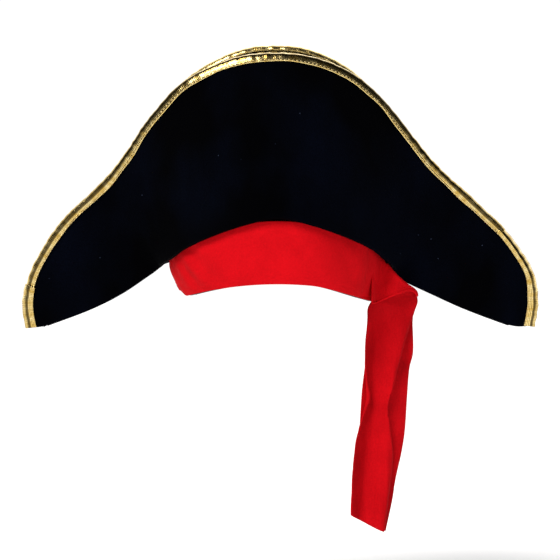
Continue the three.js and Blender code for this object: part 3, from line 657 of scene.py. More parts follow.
@dataclass(frozen=True)
class HatShape:
    """The sizes that several sub-assemblies share, in millimetres."""

    half_width: float = 214.5
    crest_height: float = 201.0
    tip_drop: float = 26.0
    crest_half_gap: float = 54.0  # from the middle to a panel's inner face
    tip_half_gap: float = 0.9
    back_taller: float = 17.8
    bulge: float = 5.0
    brim_thick: float = 5.6
    head_half_width: float = 76.5
    head_half_length: float = 98.0
    arch: float = 11.8  # how much the opening's edge rises at the front and the back
    flare_width: float = 8.4  # how much the crown widens above the opening
    flare_length: float = 5.4
    top_half_width: float = 76.4
    top_half_length: float = 94.9
    shoulder: float = 60.0  # where the crown starts to close
    seam_height: float = 98.0  # where its side meets its top
    dome_rise: float = 34.0
    sash_inner: float = 5.1  # offsets of the sash's faces outside the head's oval
    sash_outer: float = 7.5
    crown_margin: float = 1.3  # space between the sash and the panels' lower edge
    crest_settle: float = 2.1
    front_puff: float = 1.2
    keel_end: tuple = (14.5, 0.6, 1.5)  # the lower edge's end: short of the tip, off the middle, above it
    ear_lift: float = 6.5
    tie_drag: float = 3.6

    def lower_edge(self) -> Array:
        """The front panel's lower edge from the right tip round the head to the left one."""
        a = self.head_half_width + self.flare_width + self.sash_outer + self.crown_margin
        b = self.head_half_length + self.flare_length + self.sash_outer + self.crown_margin
        angle = np.radians(OVER_SASH[:, 0])
        over = np.stack([a * np.cos(angle), -b * np.sin(angle), OVER_SASH[:, 1]], axis=1)
        short, off, above = self.keel_end
        tip = [self.half_width - short, -off, above - self.tip_drop]
        left = np.vstack([over, BESIDE_SASH + [a, 0, 0], tip])
        left[:, 2] += self.front_puff * smoothstep(left[:, 2], 20, 60)
        left[:, 2] += LEFT_LIFT
        right = left * [-1, 1, 1]
        right[:, 2] += RIGHT_LIFT
        return smooth_line(np.vstack([right[1:][::-1], left]))

    def upper_edge(self, taller: float) -> Array:
        """A panel's cut edge from the right tip over the crest to the left one.

        The crest has settled a little in sewing. With rise from 0 at the tips to 1 at the crest, the half
        gap is 0.9 + 53.1 rise^1.2, and a taller panel stands higher by its extra height times rise^4.
        """
        height = CUT_EDGE[:, 1] - self.crest_settle * smoothstep(CUT_EDGE[:, 1], 85, 165)
        rise = np.clip((height + self.tip_drop) / (self.crest_height + self.tip_drop), 0, 1)
        gap = self.tip_half_gap + (self.crest_half_gap - self.tip_half_gap) * rise**1.2
        return np.stack([CUT_EDGE[:, 0], -gap, height + taller * rise**4], axis=1)

    def head_axes(self, height: Array) -> tuple[Array, Array]:
        """Half width and half length inside the hat at heights above the opening's edge."""
        flare = smoothstep(height, -10.5, 30)
        closing = np.clip((height - self.shoulder) / (self.seam_height - self.shoulder), 0, 1) ** 2
        a = self.head_half_width + self.flare_width * flare
        b = self.head_half_length + self.flare_length * flare
        return a + (self.top_half_width - a) * closing, b + (self.top_half_length - b) * closing

    def crown_point(self, angle: Array, height: Array, offset: Array) -> Array:
        """A point round the crown: an oval of head_axes + offset, lifted by arch sin^2(angle) at its foot."""
        a, b = self.head_axes(height)
        lift = self.arch * np.sin(angle) ** 2 * (1 - smoothstep(height, 36, self.seam_height))
        z = height + lift + self.drape(angle) * (1 - smoothstep(height, 0, 30))
        x, y = (a + offset) * np.cos(angle), (b + offset) * np.sin(angle)
        return np.stack(np.broadcast_arrays(x, y, z), axis=-1)

    def drape(self, angle: Array) -> Array:
        """How the opening's edge hangs: raised over the right ear, dragged down by the tie at the left."""
        raised = self.ear_lift * smoothstep(-np.cos(angle), 0.9, 1.0)
        dragged = smoothstep(np.cos(angle), 0.3, 0.86) * smoothstep(-np.sin(angle), -0.25, 0.3)
        return raised - self.tie_drag * dragged

    def dome_point(self, angle: Array, share: Array, offset: Array) -> Array:
        """A point of the crown's top: reach cos(t)^0.7 and height sin(t), t being a share of 90 degrees."""
        t = share * math.pi / 2
        reach = np.cos(t) ** 0.7
        z = self.seam_height + (self.dome_rise + offset) * np.sin(t)
        x = (self.top_half_width + offset) * reach * np.cos(angle)
        y = (self.top_half_length + offset) * reach * np.sin(angle)
        return np.stack(np.broadcast_arrays(x, y, z), axis=-1)


@dataclass
class BrimPanel:
    """One brim panel: u runs from the right tip to the left one, v from the lower edge to the cut edge."""

    shape: HatShape
    side: Side

    def __post_init__(self) -> None:
        """Works out the two edges."""
        back = self.side is Side.BACK
        self.lower = self.shape.lower_edge()
        self.upper = smooth_line(self.shape.upper_edge(self.shape.back_taller if back else 0.0))

    def inner(self, u: Array, v: Array) -> Array:
        """Points of the inner face: lower + v (upper - lower), and a belly of 5 sin(pi v)(1 - |u|^3)."""
        share = (u + 1) / 2
        low, high = along(self.lower, share)[:, None], along(self.upper, share)[:, None]
        points = low + (high - low) * v[None, :, None]
        belly = self.shape.bulge * swell(np.clip(v, 0, 1))[None, :] * (1 - np.abs(u[:, None]) ** 3)
        points[..., 1] = self.side.value * (belly - points[..., 1])
        return points

    def run(self, u: Array, v: Array) -> Array:
        """How the inner face moves along u, from central differences."""
        return self.inner(np.clip(u + SHIFT, -1, 1), v) - self.inner(np.clip(u - SHIFT, -1, 1), v)

    def outward(self, u: Array, v: Array) -> Array:
        """Outward directions, from central differences of the inner face."""
        up = self.inner(u, np.clip(v + SHIFT, 0, 1)) - self.inner(u, np.clip(v - SHIFT, 0, 1))
        normal = unit(np.cross(self.run(u, v), up))
        return normal * np.where(normal[..., 1:2] * self.side.value < 0, -1, 1)

    def face(self, u: Array, v: Array, offset: float) -> Array:
        """Points a distance outside the inner face."""
        return self.inner(u, v) + self.outward(u, v) * offset

    def out_of_edge(self, u: Array) -> Array:
        """The direction that leaves the cut edge within the panel, square to the edge."""
        edge = np.array([1.0])
        square = unit(np.cross(self.run(u, edge)[:, 0], self.outward(u, edge)[:, 0]))
        up = (self.inner(u, edge) - self.inner(u, np.array([0.8])))[:, 0]
        return square * np.where((square * up).sum(axis=1, keepdims=True) < 0, -1, 1)

    def near_edge(self, u: Array, out: Array, off: Array) -> Array:
        """Points out beyond the cut edge and off from the inner face, for each u and each out and off."""
        out, off = (np.broadcast_to(x, (len(u), x.shape[-1])) for x in (out, off))
        edge, normal = self.inner(u, np.array([1.0])), self.outward(u, np.array([1.0]))
        return edge + normal * off[..., None] + self.out_of_edge(u)[:, None] * out[..., None]


# ------------------------------------------------------------------ brim


@dataclass
class Brim:
    """Both brim panels with their bindings, stitches and the tapes under the side seams."""

    shape: HatShape
    wardrobe: Wardrobe
    velvet_thick: float = 1.0
    lining_thick: float = 0.8
    roll_depth: float = 1.3
    leg: float = 4.9
    tip_leg: float = 6.0
    binding_cloth: float = 0.8
    clearance: float = 0.75
    left_joint: float = 0.735  # where the long bindings end, as u
    right_joint: float = -0.9
    lap: float = 0.012  # how far the tip bindings cover them, as u
    rim: float = 0.9  # the binding's legs end this far below the cut edge
    fold_height: float = 4.1
    welt: float = 0.85
    crest_wider: float = 0.42
    tip_narrower: float = 0.3
    bridge_height: float = 4.6
    hem_turn: tuple = (0.02, 0.045)  # where the velvet's lower edge is turned up inside, as v
    keel_span: tuple = (0.53, 0.985)  # where the keel tapes lie, as distance from the middle in u

    def build(self) -> None:
        """Builds every piece of the brim."""
        panels = {side: BrimPanel(self.shape, side) for side in Side}
        for side, panel in panels.items():
            word = side.name.lower()
            self.cover(word, panel)
            self.lining(word, panel)
            self.core(word, panel)
            self.long_binding(word, panel)
        front, back = panels[Side.FRONT], panels[Side.BACK]
        self.tip_binding("right", front, back, np.linspace(-1.0, self.right_joint + self.lap, 24))
        self.tip_binding("left", front, back, np.linspace(self.left_joint - self.lap, 1.0, 60))
        for word, sign in (("right", -1), ("left", 1)):
            self.keel_tape(word, sign, front, back)

    def cover(self, word: str, panel: BrimPanel) -> None:
        """The velvet face of a panel, rolled under the foam at its lower edge and turned up inside."""
        u = np.linspace(-1, 1, 241)
        face = panel.face(u, np.linspace(1, 0, 44), self.shape.brim_thick)
        waver = 0.5 * ripple(face[..., 0] / 95, face[..., 2] / 70, 11)
        face[..., 1] += panel.side.value * waver * swell(np.linspace(1, 0, 44))[None, :]
        edge = panel.inner(u, np.array([0.0]))
        out = panel.outward(u, np.array([0.0]))
        up = unit(panel.inner(u, np.array([0.05])) - edge)
        turn = np.linspace(0, math.pi, 11)[1:]
        half = self.shape.brim_thick / 2
        reach = np.abs(edge[..., 0:1])
        depth = self.roll_depth * (1 - 0.8 * smoothstep(reach, 96, 112))
        cos, sin = np.cos(turn)[None, :, None], np.sin(turn)[None, :, None]
        roll = edge + out * (half + half * cos) - up * depth * sin
        hem = panel.face(u, np.array(self.hem_turn), 0.0)
        points = np.concatenate([face, roll, hem], axis=1)
        piece = grid_piece(f"{word}_brim_velveteen", points, away_from=(0, 0, 60))
        thicken(piece, self.velvet_thick)
        Dress(self.wardrobe.velvet, "velvet", (f"{word}_brim_velvet",)).put_on(piece)

    def lining(self, word: str, panel: BrimPanel) -> None:
        """The velvet inner face of a panel, from the turned-up hem to the cut edge."""
        u = np.linspace(-1, 1, 201)
        points = panel.face(u, np.linspace(0.04, 1, 36), 0.0)
        piece = grid_piece(f"{word}_brim_inner_face", points, away_from=(0, panel.side.value * 500, 60))
        thicken(piece, self.lining_thick)
        Dress(self.wardrobe.velvet, "velvet", (f"{word}_brim_lining",)).put_on(piece)

    def core(self, word: str, panel: BrimPanel) -> None:
        """The foam sheet inside a panel, with its cut edges eased."""
        u = np.linspace(-0.992, 0.992, 121)
        v = np.concatenate([[0.004, 0.012], np.linspace(0.03, 0.97, 18), [0.988, 0.996]])
        ease = np.ones(len(v))
        ease[[0, -1]] = 0.45
        middle, half = 2.7, 1.5
        base, out = panel.inner(u, v), panel.outward(u, v)
        near = base + out * (middle - half * ease)[None, :, None]
        far = base + out * (middle + half * ease)[None, :, None]
        piece = grid_piece(f"{word}_brim_foam_core", capped(close_loop(near, far)), Weld(columns=True))
        Dress(self.wardrobe.foam, "foam", (f"{word}_brim_foam",)).put_on(piece)

    def wrap(self, leg: float) -> tuple[Array, Array]:
        """The binding's section as distances out of the edge and off the inner face.

        It runs from the foot of the outer leg, over the edge and down the inner leg, a third of the places
        to each. The outer leg stands proud with a groove where it is stitched, and the edge is nearly half
        an ellipse.

        Args:
            leg: Depth of the binding on each face.

        Returns:
            The distances out and the distances off.
        """
        thick, third = self.shape.brim_thick, 12
        s = np.linspace(0, 1, third)
        flank = -leg + (leg - self.rim) * s
        proud = 0.2 + self.clearance + self.welt * smoothstep(s, 0.0, 0.22) - 0.35 * bell(s, 0.34, 0.1)
        turn = np.linspace(0, math.pi, third + 2)[1:-1]
        over_out = -self.rim + self.fold_height * np.sin(turn) ** 0.9
        over_off = thick / 2 + (thick / 2 + self.clearance + 1.05) * np.cos(turn)
        inner = 0.25 + self.clearance + 0.8 * swell(s)
        out = np.concatenate([flank, over_out, flank[::-1]])
        return out, np.concatenate([thick + proud, over_off, -inner[::-1]])

    def widened(self, out: Array, share: Array) -> Array:
        """The section's distances out at each place along the edge, with the legs longer by a share."""
        return np.where(out < -self.rim, -self.rim + (out + self.rim) * (1 + share[:, None]), out)

    def long_binding(self, word: str, panel: BrimPanel) -> None:
        """The lame binding over one panel's cut edge, puckered, with its row of stitches."""
        edge = np.array([1.0])
        u = np.linspace(self.right_joint, self.left_joint, 621)
        out, off = self.wrap(self.leg)
        length = (u - u[0]) / 2 * 640
        section = np.linspace(0, 1, len(out))
        pucker = ripple(length[:, None] / 9, section[None, :] * 1.1, 21 if word == "front" else 22, 9)
        crush = ripple(length[:, None] / 42, section[None, :] * 0.6, 23)
        foot = 0.35 * ripple(length / 14, np.zeros(1), 24)
        wider = self.crest_wider * smoothstep(panel.inner(u, edge)[:, 0, 2], 60, 150)
        points = panel.near_edge(u, self.widened(out, wider) + foot[:, None] * (section < 0.1), off)
        normals = grid_normals(points)
        away = unit(points - panel.inner(u, np.array([0.96])))
        normals = normals * np.where((normals * away).sum(axis=-1, keepdims=True) < 0, -1, 1)
        points = points + normals * ((0.16 * pucker + 0.22 * crush) * swell(section) ** 0.5)[..., None]
        piece = grid_piece(f"{word}_edge_binding_lame", points, away_from=(0, 0, -400))
        thicken(piece, self.binding_cloth)
        Dress(self.wardrobe.gold, "gold", (f"{word}_edge_binding",)).put_on(piece)
        seam = self.widened(np.array([0.75 - self.leg]), wider)
        row = panel.near_edge(u, seam, np.array([self.shape.brim_thick + self.clearance + self.welt]))[:, 0]
        stitches = stitch_row(f"{word}_binding_stitches", row, panel.outward(u, edge)[:, 0], 2.6, 0.7, 0.34)
        Dress(self.wardrobe.gold_thread, "gold_thread", (f"{word}_binding_thread",)).put_on(stitches)

    def tip_binding(self, word: str, front: BrimPanel, back: BrimPanel, u: Array) -> None:
        """The wider lame piece that wraps both panels together at a tip, lapped over the long bindings.

        Between the panels it bridges the gap: up beside each of them, and sunk in the middle by most of
        the gap's width.
        """
        out, off = self.wrap(self.tip_leg)
        third = len(out) // 3
        outer = off[:third] + 0.9
        narrower = -self.tip_narrower * smoothstep(front.inner(u, np.array([1.0]))[:, 0, 2], 2, 25)
        reach = self.widened(out[:third], narrower)
        face, rear = front.near_edge(u, reach, outer), back.near_edge(u, reach, outer)[:, ::-1]
        share = np.linspace(0, 1, third + 2)[1:-1][None, :, None]
        rise = unit(front.out_of_edge(u) + back.out_of_edge(u))[:, None]
        apart = np.linalg.norm(face[:, -1:] - rear[:, :1], axis=-1, keepdims=True)
        dip = np.clip(apart - 2 * self.shape.brim_thick - 4, 0, None) * 0.9
        beside = swell(np.clip(share * 3, 0, 0.5)) * swell(np.clip((1 - share) * 3, 0, 0.5))
        lift = rise * (beside * self.bridge_height - dip * swell(share) ** 8)
        bridge = face[:, -1:] * (1 - share) + rear[:, :1] * share + lift
        points = np.concatenate([face, bridge, rear], axis=1)
        length = np.linspace(0, 1, len(u)) * np.linalg.norm(np.diff(points[:, 0], axis=0), axis=1).sum()
        section = np.linspace(0, 1, points.shape[1])
        pucker = 0.22 * ripple(length[:, None] / 8, section[None, :], 31, 9) * swell(section)[None, :] ** 0.5
        points = points + grid_normals(points) * pucker[..., None]
        inside = tuple(points.mean(axis=(0, 1)) * np.array([0.9, 1, 1]))
        piece = grid_piece(f"{word}_tip_binding_lame", points, away_from=inside)
        thicken(piece, self.binding_cloth)
        Dress(self.wardrobe.gold, "gold", (f"{word}_tip_binding",)).put_on(piece)

    def keel_tape(self, word: str, sign: int, front: BrimPanel, back: BrimPanel) -> None:
        """The velvet tape that covers the seam under the panels, rounded across."""
        u = np.sort(sign * np.linspace(*self.keel_span, 80))
        foot_front, foot_back = (panel.face(u, np.array([0.0]), 5.4) for panel in (front, back))
        share = np.linspace(0, 1, 11)[None, :, None]
        along_seam = np.gradient(front.inner(u, np.array([0.0]))[:, 0], axis=0)
        down = unit(np.stack([along_seam[:, 2], np.zeros(len(u)), -along_seam[:, 0]], axis=-1))[:, None]
        sag = 0.25 + 0.5 * swell(share)
        points = foot_front * (1 - share) + foot_back * share + down * sag
        piece = grid_piece(f"{word}_keel_velveteen", points, away_from=(0, 0, 400))
        thicken(piece, 0.6)
        Dress(self.wardrobe.velvet, "velvet", (f"{word}_keel_tape",)).put_on(piece)


# ------------------------------------------------------------------ crown


# The sweatband from its free edge inside, under the opening's edge and up outside, as [height, offset].
SWEATBAND_PROFILE = np.array([
    [31, 0.9], [30.5, 0.35], [29.5, 0.0], [20, 0.0], [8, 0.05], [1.4, 0.3], [0.3, 1.1], [0.0, 2.2],
    [0.4, 3.2], [1.6, 3.7],
])


@dataclass
class Crown:
    """The soft crown, its lining and headband, the sweatband and the label."""

    shape: HatShape
    wardrobe: Wardrobe
    around: int = 180
    outer: float = 4.7  # how far outside the head's oval the crown's velvet lies
    stiffener: float = 3.4
    lining: float = 1.9
    centre: tuple = (0, 0, 50)
    sweatband_seam: float = 27.5
    crown_seam_drop: float = 3.0
    label_width: float = 22.0
    label_span: tuple = (10, 24)

    def angles(self) -> Array:
        """Angles round the head as a column."""
        return (np.arange(self.around) * 2 * math.pi / self.around)[:, None]

    def ring(
        self, name: str, span: tuple, offset: float, thick: float, rows: int, slack: float = 0.0
    ) -> Piece:
        """A band round the head over a span of heights, slack except at its edges and at the two sides."""
        angle = self.angles()
        height = np.linspace(*span, rows)[None, :]
        relief = slack * ripple(angle * 3.1, height / 45, 41) * swell(np.linspace(0, 1, rows))[None, :]
        points = self.shape.crown_point(angle, height, offset + relief * (1 - np.cos(angle) ** 8))
        piece = grid_piece(name, points, Weld(rows=True), self.centre)
        thicken(piece, thick)
        return piece

    def build(self) -> None:
        """Builds every piece of the crown."""
        w, s = self.wardrobe, self.shape
        side = self.ring("crown_side_velveteen", (3, s.seam_height), self.outer, 1.0, 34, 0.6)
        Dress(w.velvet, "velvet", ("crown_side",)).put_on(side)
        angle = self.angles()
        share = np.linspace(0, 0.992, 30)[None, :]
        pleat = 0.5 * ripple(np.cos(angle) * 2 * (1 - share), np.sin(angle) * 2 * (1 - share), 42)
        top = s.dome_point(angle, share, self.outer + pleat) + np.array([0, 0, 0.3])
        crown_top = grid_piece("crown_top_velveteen", top, Weld(rows=True), (0, 0, 0))
        thicken(crown_top, 1.0)
        Dress(w.velvet, "velvet", ("crown_top",)).put_on(crown_top)
        self.cap_lining(angle)
        stiff = self.ring("headband_buckram", (2, 36), self.stiffener, 1.2, 12)
        Dress(w.buckram, "stiffener", ("headband_stiffener",)).put_on(stiff)
        self.sweatband(angle)
        self.seam()
        self.label()

    def cap_lining(self, angle: Array) -> None:
        """The lining: one cap from the headband to the top, with loose gathers towards the middle."""
        s = self.shape
        height = np.linspace(3, 96, 26)[None, :]
        share = np.linspace(0.06, 0.992, 22)[None, :]
        loose = 0.45 * ripple(angle * 4.2, height / 40, 43) * smoothstep(height, 30, 60)
        gathers = 0.5 * np.sin(angle * 24) * smoothstep(share, 0.0, 0.5) * (1 - share)
        side = s.crown_point(angle, height, self.lining - np.abs(loose))
        dome = s.dome_point(angle, share, self.lining - np.abs(gathers))
        points = np.concatenate([side, dome], axis=1)
        piece = grid_piece("crown_lining_cap", points, Weld(rows=True), self.centre)
        thicken(piece, 0.7)
        Dress(self.wardrobe.lining, "lining", ("crown_lining",)).put_on(piece)

    def sweatband(self, angle: Array) -> None:
        """The twill sweatband, turned over the lower edge, with its row of stitches."""
        s = self.shape
        line = along(smooth_line(SWEATBAND_PROFILE), np.linspace(0, 1, 34))
        points = s.crown_point(angle, line[None, :, 0], line[None, :, 1])
        piece = grid_piece("sweatband_twill", points, Weld(rows=True), self.centre)
        thicken(piece, 0.7)
        Dress(self.wardrobe.twill, "sweatband", ("sweatband",)).put_on(piece)
        turn = np.linspace(0, 2 * math.pi, 361)
        row = s.crown_point(turn, np.full(361, self.sweatband_seam), np.full(361, -0.05))
        inwards = -unit(row * np.array([1, 1, 0]))
        stitches = stitch_row("sweatband_stitches", row, inwards, 2.6, 1.2, 0.22)
        Dress(self.wardrobe.black_thread, "thread", ()).put_on(stitches)

    def seam(self) -> None:
        """The row of stitches that joins the crown's side to its top."""
        turn = np.linspace(0, 2 * math.pi, 361)
        height = self.shape.seam_height - self.crown_seam_drop
        row = self.shape.crown_point(turn, np.full(361, height), np.full(361, self.outer + 0.1))
        outwards = unit(row * np.array([1, 1, 0]))
        stitches = stitch_row("crown_seam_stitches", row, outwards, 2.8, 1.4, 0.3)
        Dress(self.wardrobe.black_thread, "thread", ("crown_seam_thread",)).put_on(stitches)

    def label(self) -> None:
        """A blank folded label sewn inside the back."""
        turn = self.label_width / self.shape.head_half_width
        angle = (math.pi / 2 + turn * np.linspace(-0.5, 0.5, 21))[:, None]
        height = np.linspace(*self.label_span, 15)[None, :]
        bow = 0.9 * swell(np.linspace(0, 1, 15))[None, :] + 0.8
        points = self.shape.crown_point(angle, height, -bow)
        piece = grid_piece("care_label_satin", points, away_from=(0, 500, 17))
        thicken(piece, 0.4)
        Dress(self.wardrobe.label, "label", ("care_label",)).put_on(piece)


# ------------------------------------------------------------------ sash


# Edges of the hanging tails as [z, left x, right x].
FRONT_TAIL = [
    [1.0, 82, 117.2], [-4.8, 77.5, 117.5], [-10.6, 75, 115.4], [-19.5, 74.8, 112.4], [-28, 74.2, 109.6],
    [-41, 73.1, 105.4], [-60, 72.8, 100], [-76, 73.6, 95.8], [-92, 73.8, 91.6], [-110, 70.2, 93.4],
    [-130, 65, 96], [-150, 62.6, 95], [-166, 61.6, 92.6], [-198, 60.6, 88.4],
]
BACK_TAIL = [
    [1.0, 84.5, 113], [-8.4, 77, 114.4], [-22, 75, 113.4], [-46, 74, 113.8], [-62, 73, 110.4],
    [-84, 70.5, 108.6], [-112, 68.8, 106.7], [-131, 67.5, 103.7], [-150, 67, 99.4], [-167, 66.5, 96.5],
    [-198, 66, 89.6],
]
TAIL_TOP = 1.0
TAIL_FOOT = -197.0
TAIL_ENDS = (-180.0, -196.0)  # heights of a tail's slanted end, at the left and near the right
# The corner strip's diagonal fold from the hem's corner up to the brim, and its hem from the band, as [x, z].
FOLD_LINE = np.array([
    [117.0, 0.6], [116.6, 3.4], [114.6, 5.9], [109.4, 9.4], [104.2, 13.3], [98.0, 19.2], [89.6, 29.6],
    [80.6, 40.5],
])
HEM_LINE = np.array([
    [78.4, -5.0], [82.5, -4.2], [88.5, -1.6], [96.0, 1.6], [103.0, 4.0], [109.0, 5.7], [113.2, 5.2],
    [116.0, 2.8], [117.2, 0.6],
])
# The straight line of the corner strip seen from above, as x and y at its two ends.
STRIP_PLAN = ([78.6, 117.6], [-51.0, -22.4])
BACKWARD = np.array([-0.4733, 0.8809, 0])  # square to that line, towards the back
# Middle line of the sash's rear end seen from above, from the back of the head to the tack.
REAR_ROUTE = np.array([[88.6, 40.0, 0], [91.6, 30.0, 0], [94.6, 14, 0], [95.2, -4, 0], [93.2, -17, 0]])


@dataclass
class Sash:
    """The red sash: a band round the head, a folded corner at the wearer's left and two tails.

    The band turns off the head at a ridge and runs on as a flat strip. The strip folds over on a diagonal
    and hangs down behind itself as the front tail.
    """

    shape: HatShape
    wardrobe: Wardrobe
    cloth: float = 1.1
    ridge_angle: float = -39.0  # where the band folds into the corner, in degrees round the head
    ridge_rise: float = 1.6
    recess: float = 1.5
    hem_pull: float = 1.1
    stitch_groove: float = 0.35
    fold_radius: float = 1.9
    fold_share: float = 0.7  # how much of the diagonal fold the front tail is drawn round
    tail_rows: int = 150
    front_cloth: float = 43.0
    back_cloth: float = 43.5
    front_behind: float = 5.2  # how far each tail hangs behind the strip's hem
    back_behind: float = 8.8
    left_hollow: float = 9.5
    right_crest: float = 13.0
    tack_at: tuple = (91, -31, 21)
    tack_length: float = 12.0

    def build(self) -> None:
        """Builds every piece of the sash."""
        self.band()
        self.corner()
        self.front_tail()
        self.back_tail()
        self.rear_end()
        self.tack()

    def band(self) -> None:
        """The band: outer face, rolled hem and inner face, with drag lines towards the tie."""
        s = self.shape
        angle = np.radians(np.arange(360))[:, None]
        degrees = (np.degrees(angle) + 180) % 360 - 180
        side_top, front_top = 36, 64
        crest = side_top + (front_top - side_top - s.arch) * np.sin(angle) ** 2
        share = np.linspace(0, 1, 46)[None, :]
        height = crest * (1 - share)
        behind_ridge = smoothstep(degrees, self.ridge_angle + 0.5, self.ridge_angle + 5)
        behind_ridge = behind_ridge * (1 - smoothstep(degrees, 20, 34))
        ridge = bell(degrees, self.ridge_angle - 3, 5)
        slant = degrees / 16 + height / 34
        drag = 0.55 * ripple(slant, height / 90 + degrees / 200, 51, 6)
        left = bell(degrees, -145, 14)
        drag = drag * (0.4 + 1.1 * left) + 0.7 * left * np.sin((degrees + height * 0.9) / 4.2)
        relief = drag * swell(share) ** 0.6
        pull = self.hem_pull * smoothstep(share, 0.86, 1.0) ** 2
        groove = self.stitch_groove * bell(height, 4.2, 0.7)
        outer = s.sash_outer + relief + self.ridge_rise * ridge - self.recess * behind_ridge - pull - groove
        face = s.crown_point(angle, height, outer)
        turn = np.linspace(0, math.pi, 9)[1:-1][None, :]
        hem_mid = (outer[:, -1:] + s.sash_inner + 0.2) / 2
        hem_half = (outer[:, -1:] - s.sash_inner - 0.2) / 2
        hem = s.crown_point(angle, -0.9 * np.sin(turn), hem_mid + hem_half * np.cos(turn))
        inside_height = crest * np.linspace(0, 1, 14)[None, :]
        inside = s.crown_point(angle, inside_height, np.full((1, 14), s.sash_inner + 0.1))
        points = np.concatenate([face, hem, inside], axis=1)
        piece = grid_piece("sash_band_crepe", points, Weld(rows=True, columns=True))
        Dress(self.wardrobe.red, "sash", ("sash_band",)).put_on(piece)

    def plan(self, x: Array) -> Array:
        """y of the corner strip at x: from the band to the fold, with a valley beside the band."""
        valley = 11.0 * smoothstep(x, 78.6, 82.5) * (1 - smoothstep(x, 82.5, 101))
        return np.interp(x, *STRIP_PLAN) + valley - bell(x, 103, 6)

    def valley(self, x: Array) -> Array:
        """How much further back the strip lies under the brim than at its hem."""
        return 4.5 * smoothstep(x, 78.6, 89) * (1 - smoothstep(x, 89, 109))

    def fold_line(self, share: Array) -> Array:
        """The diagonal fold as x, y, z, from the hem's corner at share 0 to the brim at share 1."""
        line = along(smooth_line(FOLD_LINE), share)
        return np.stack([line[:, 0], self.plan(line[:, 0]) + self.valley(line[:, 0]), line[:, 1]], axis=-1)

    def hem_line(self, share: Array) -> Array:
        """The strip's lower hem as x, y, z, from the band to the fold."""
        line = along(smooth_line(HEM_LINE), share)
        return np.stack([line[:, 0], self.plan(line[:, 0]), line[:, 1]], axis=-1)

    def corner(self) -> None:
        """The strip from the band to the diagonal fold, with its rolled hem."""
        share = np.linspace(0, 1, 61)
        low, fold = self.hem_line(share), self.fold_line(np.linspace(0, 1, 200))
        rising = np.argsort(fold[:, 0])
        top = np.interp(low[:, 0], fold[rising, 0], fold[rising, 2])
        top = np.maximum(np.where(low[:, 0] < fold[:, 0].min(), 39.0, top), low[:, 2] + 0.05)
        up = np.linspace(0, 1, 33)[:, None]
        z = low[None, :, 2] * (1 - up) + top[None, :] * up
        x = np.broadcast_to(low[None, :, 0], z.shape)
        drag = 0.7 * ripple(x / 26 + z / 18, z / 60, 61) * swell(up) * swell(share)[None, :]
        points = np.stack([x, low[None, :, 1] + self.valley(x) * up + drag, z], axis=-1)
        piece = grid_piece("sash_corner_crepe", points, away_from=(60, 60, 15))
        thicken(piece, self.cloth)
        Dress(self.wardrobe.red, "sash", ("sash_fold",), body="").put_on(piece)
        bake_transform(piece)
        hem_roll = self.hem_cord("sash_corner_hem", low + np.array([0, -0.2, 0.1]), 0.95)
        Dress(self.wardrobe.red, "sash", (), body="").put_on(hem_roll)
        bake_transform(hem_roll)

    def hem_cord(self, name: str, path: Array, radius: float) -> Piece:
        """A narrow rolled hem along a path: an oval of the radius across it, carried square to the path."""
        line = along(path, np.linspace(0, 1, 70))
        tangent = unit(np.gradient(line, axis=0))
        side = unit(np.cross(tangent, np.array([0, 0, 1.0])))
        up = np.cross(side, tangent)
        turn = np.arange(10) * 2 * math.pi / 10
        cos, sin = np.cos(turn)[None, :, None], np.sin(turn)[None, :, None]
        ring = side[:, None] * cos * 0.75 + up[:, None] * sin
        return grid_piece(name, capped(line[:, None] + radius * ring), Weld(columns=True))

    def tail_section(
        self, edges: Array, across: Array, cloth_width: float, most: float
    ) -> tuple[Array, Array]:
        """How a tail's cloth curls across at each height.

        The cloth is an arc of its own width W seen as w wide: sin(f)/f = w/W for a half angle f up to a
        quarter turn, and 1/f = w/W past it. Places run to sin(f s)/sin(min(f, pi/2)) of the half width, and
        stand forward by (cos(f s) - cos f) R.

        Args:
            edges: The left and right edge seen at each height.
            across: Places from -1 at the left edge to 1 at the right.
            cloth_width: Width of the cloth.
            most: Largest half angle.

        Returns:
            x and the distance forward, rows by places.
        """
        wide = edges[:, 1] - edges[:, 0]
        angles = np.linspace(0.05, most, 400)
        seen = np.where(angles < math.pi / 2, np.sin(angles), 1.0) / angles
        half_angle = np.interp(-np.clip(wide / cloth_width, seen.min(), seen.max()), -seen, angles)[:, None]
        radius = wide[:, None] / 2 / np.sin(np.minimum(half_angle, math.pi / 2))
        turn = half_angle * across[None, :]
        x = edges.mean(axis=1)[:, None] + radius * np.sin(turn)
        forward = radius * (np.cos(turn) - np.cos(half_angle))
        return x, forward

    def tail_depth(self, level: Array, place: Array) -> Array:
        """How far the front tail lies behind its plane: a hollow at its left, a crest near its right edge."""
        hollow = self.left_hollow * smoothstep(place, -1.0, -0.25)
        crest = self.right_crest * smoothstep(place, -0.35, 0.8) - 2.5 * smoothstep(place, 0.85, 1.0)
        return (hollow - crest) * smoothstep(-level, 4, 32)

    def hang(self, x: Array, back: Array) -> Array:
        """y of the hanging plane at x, moved back: the line through (84, -40) and (117.5, -22)."""
        return -40 + (x - 84) * 18 / 33.5 + back

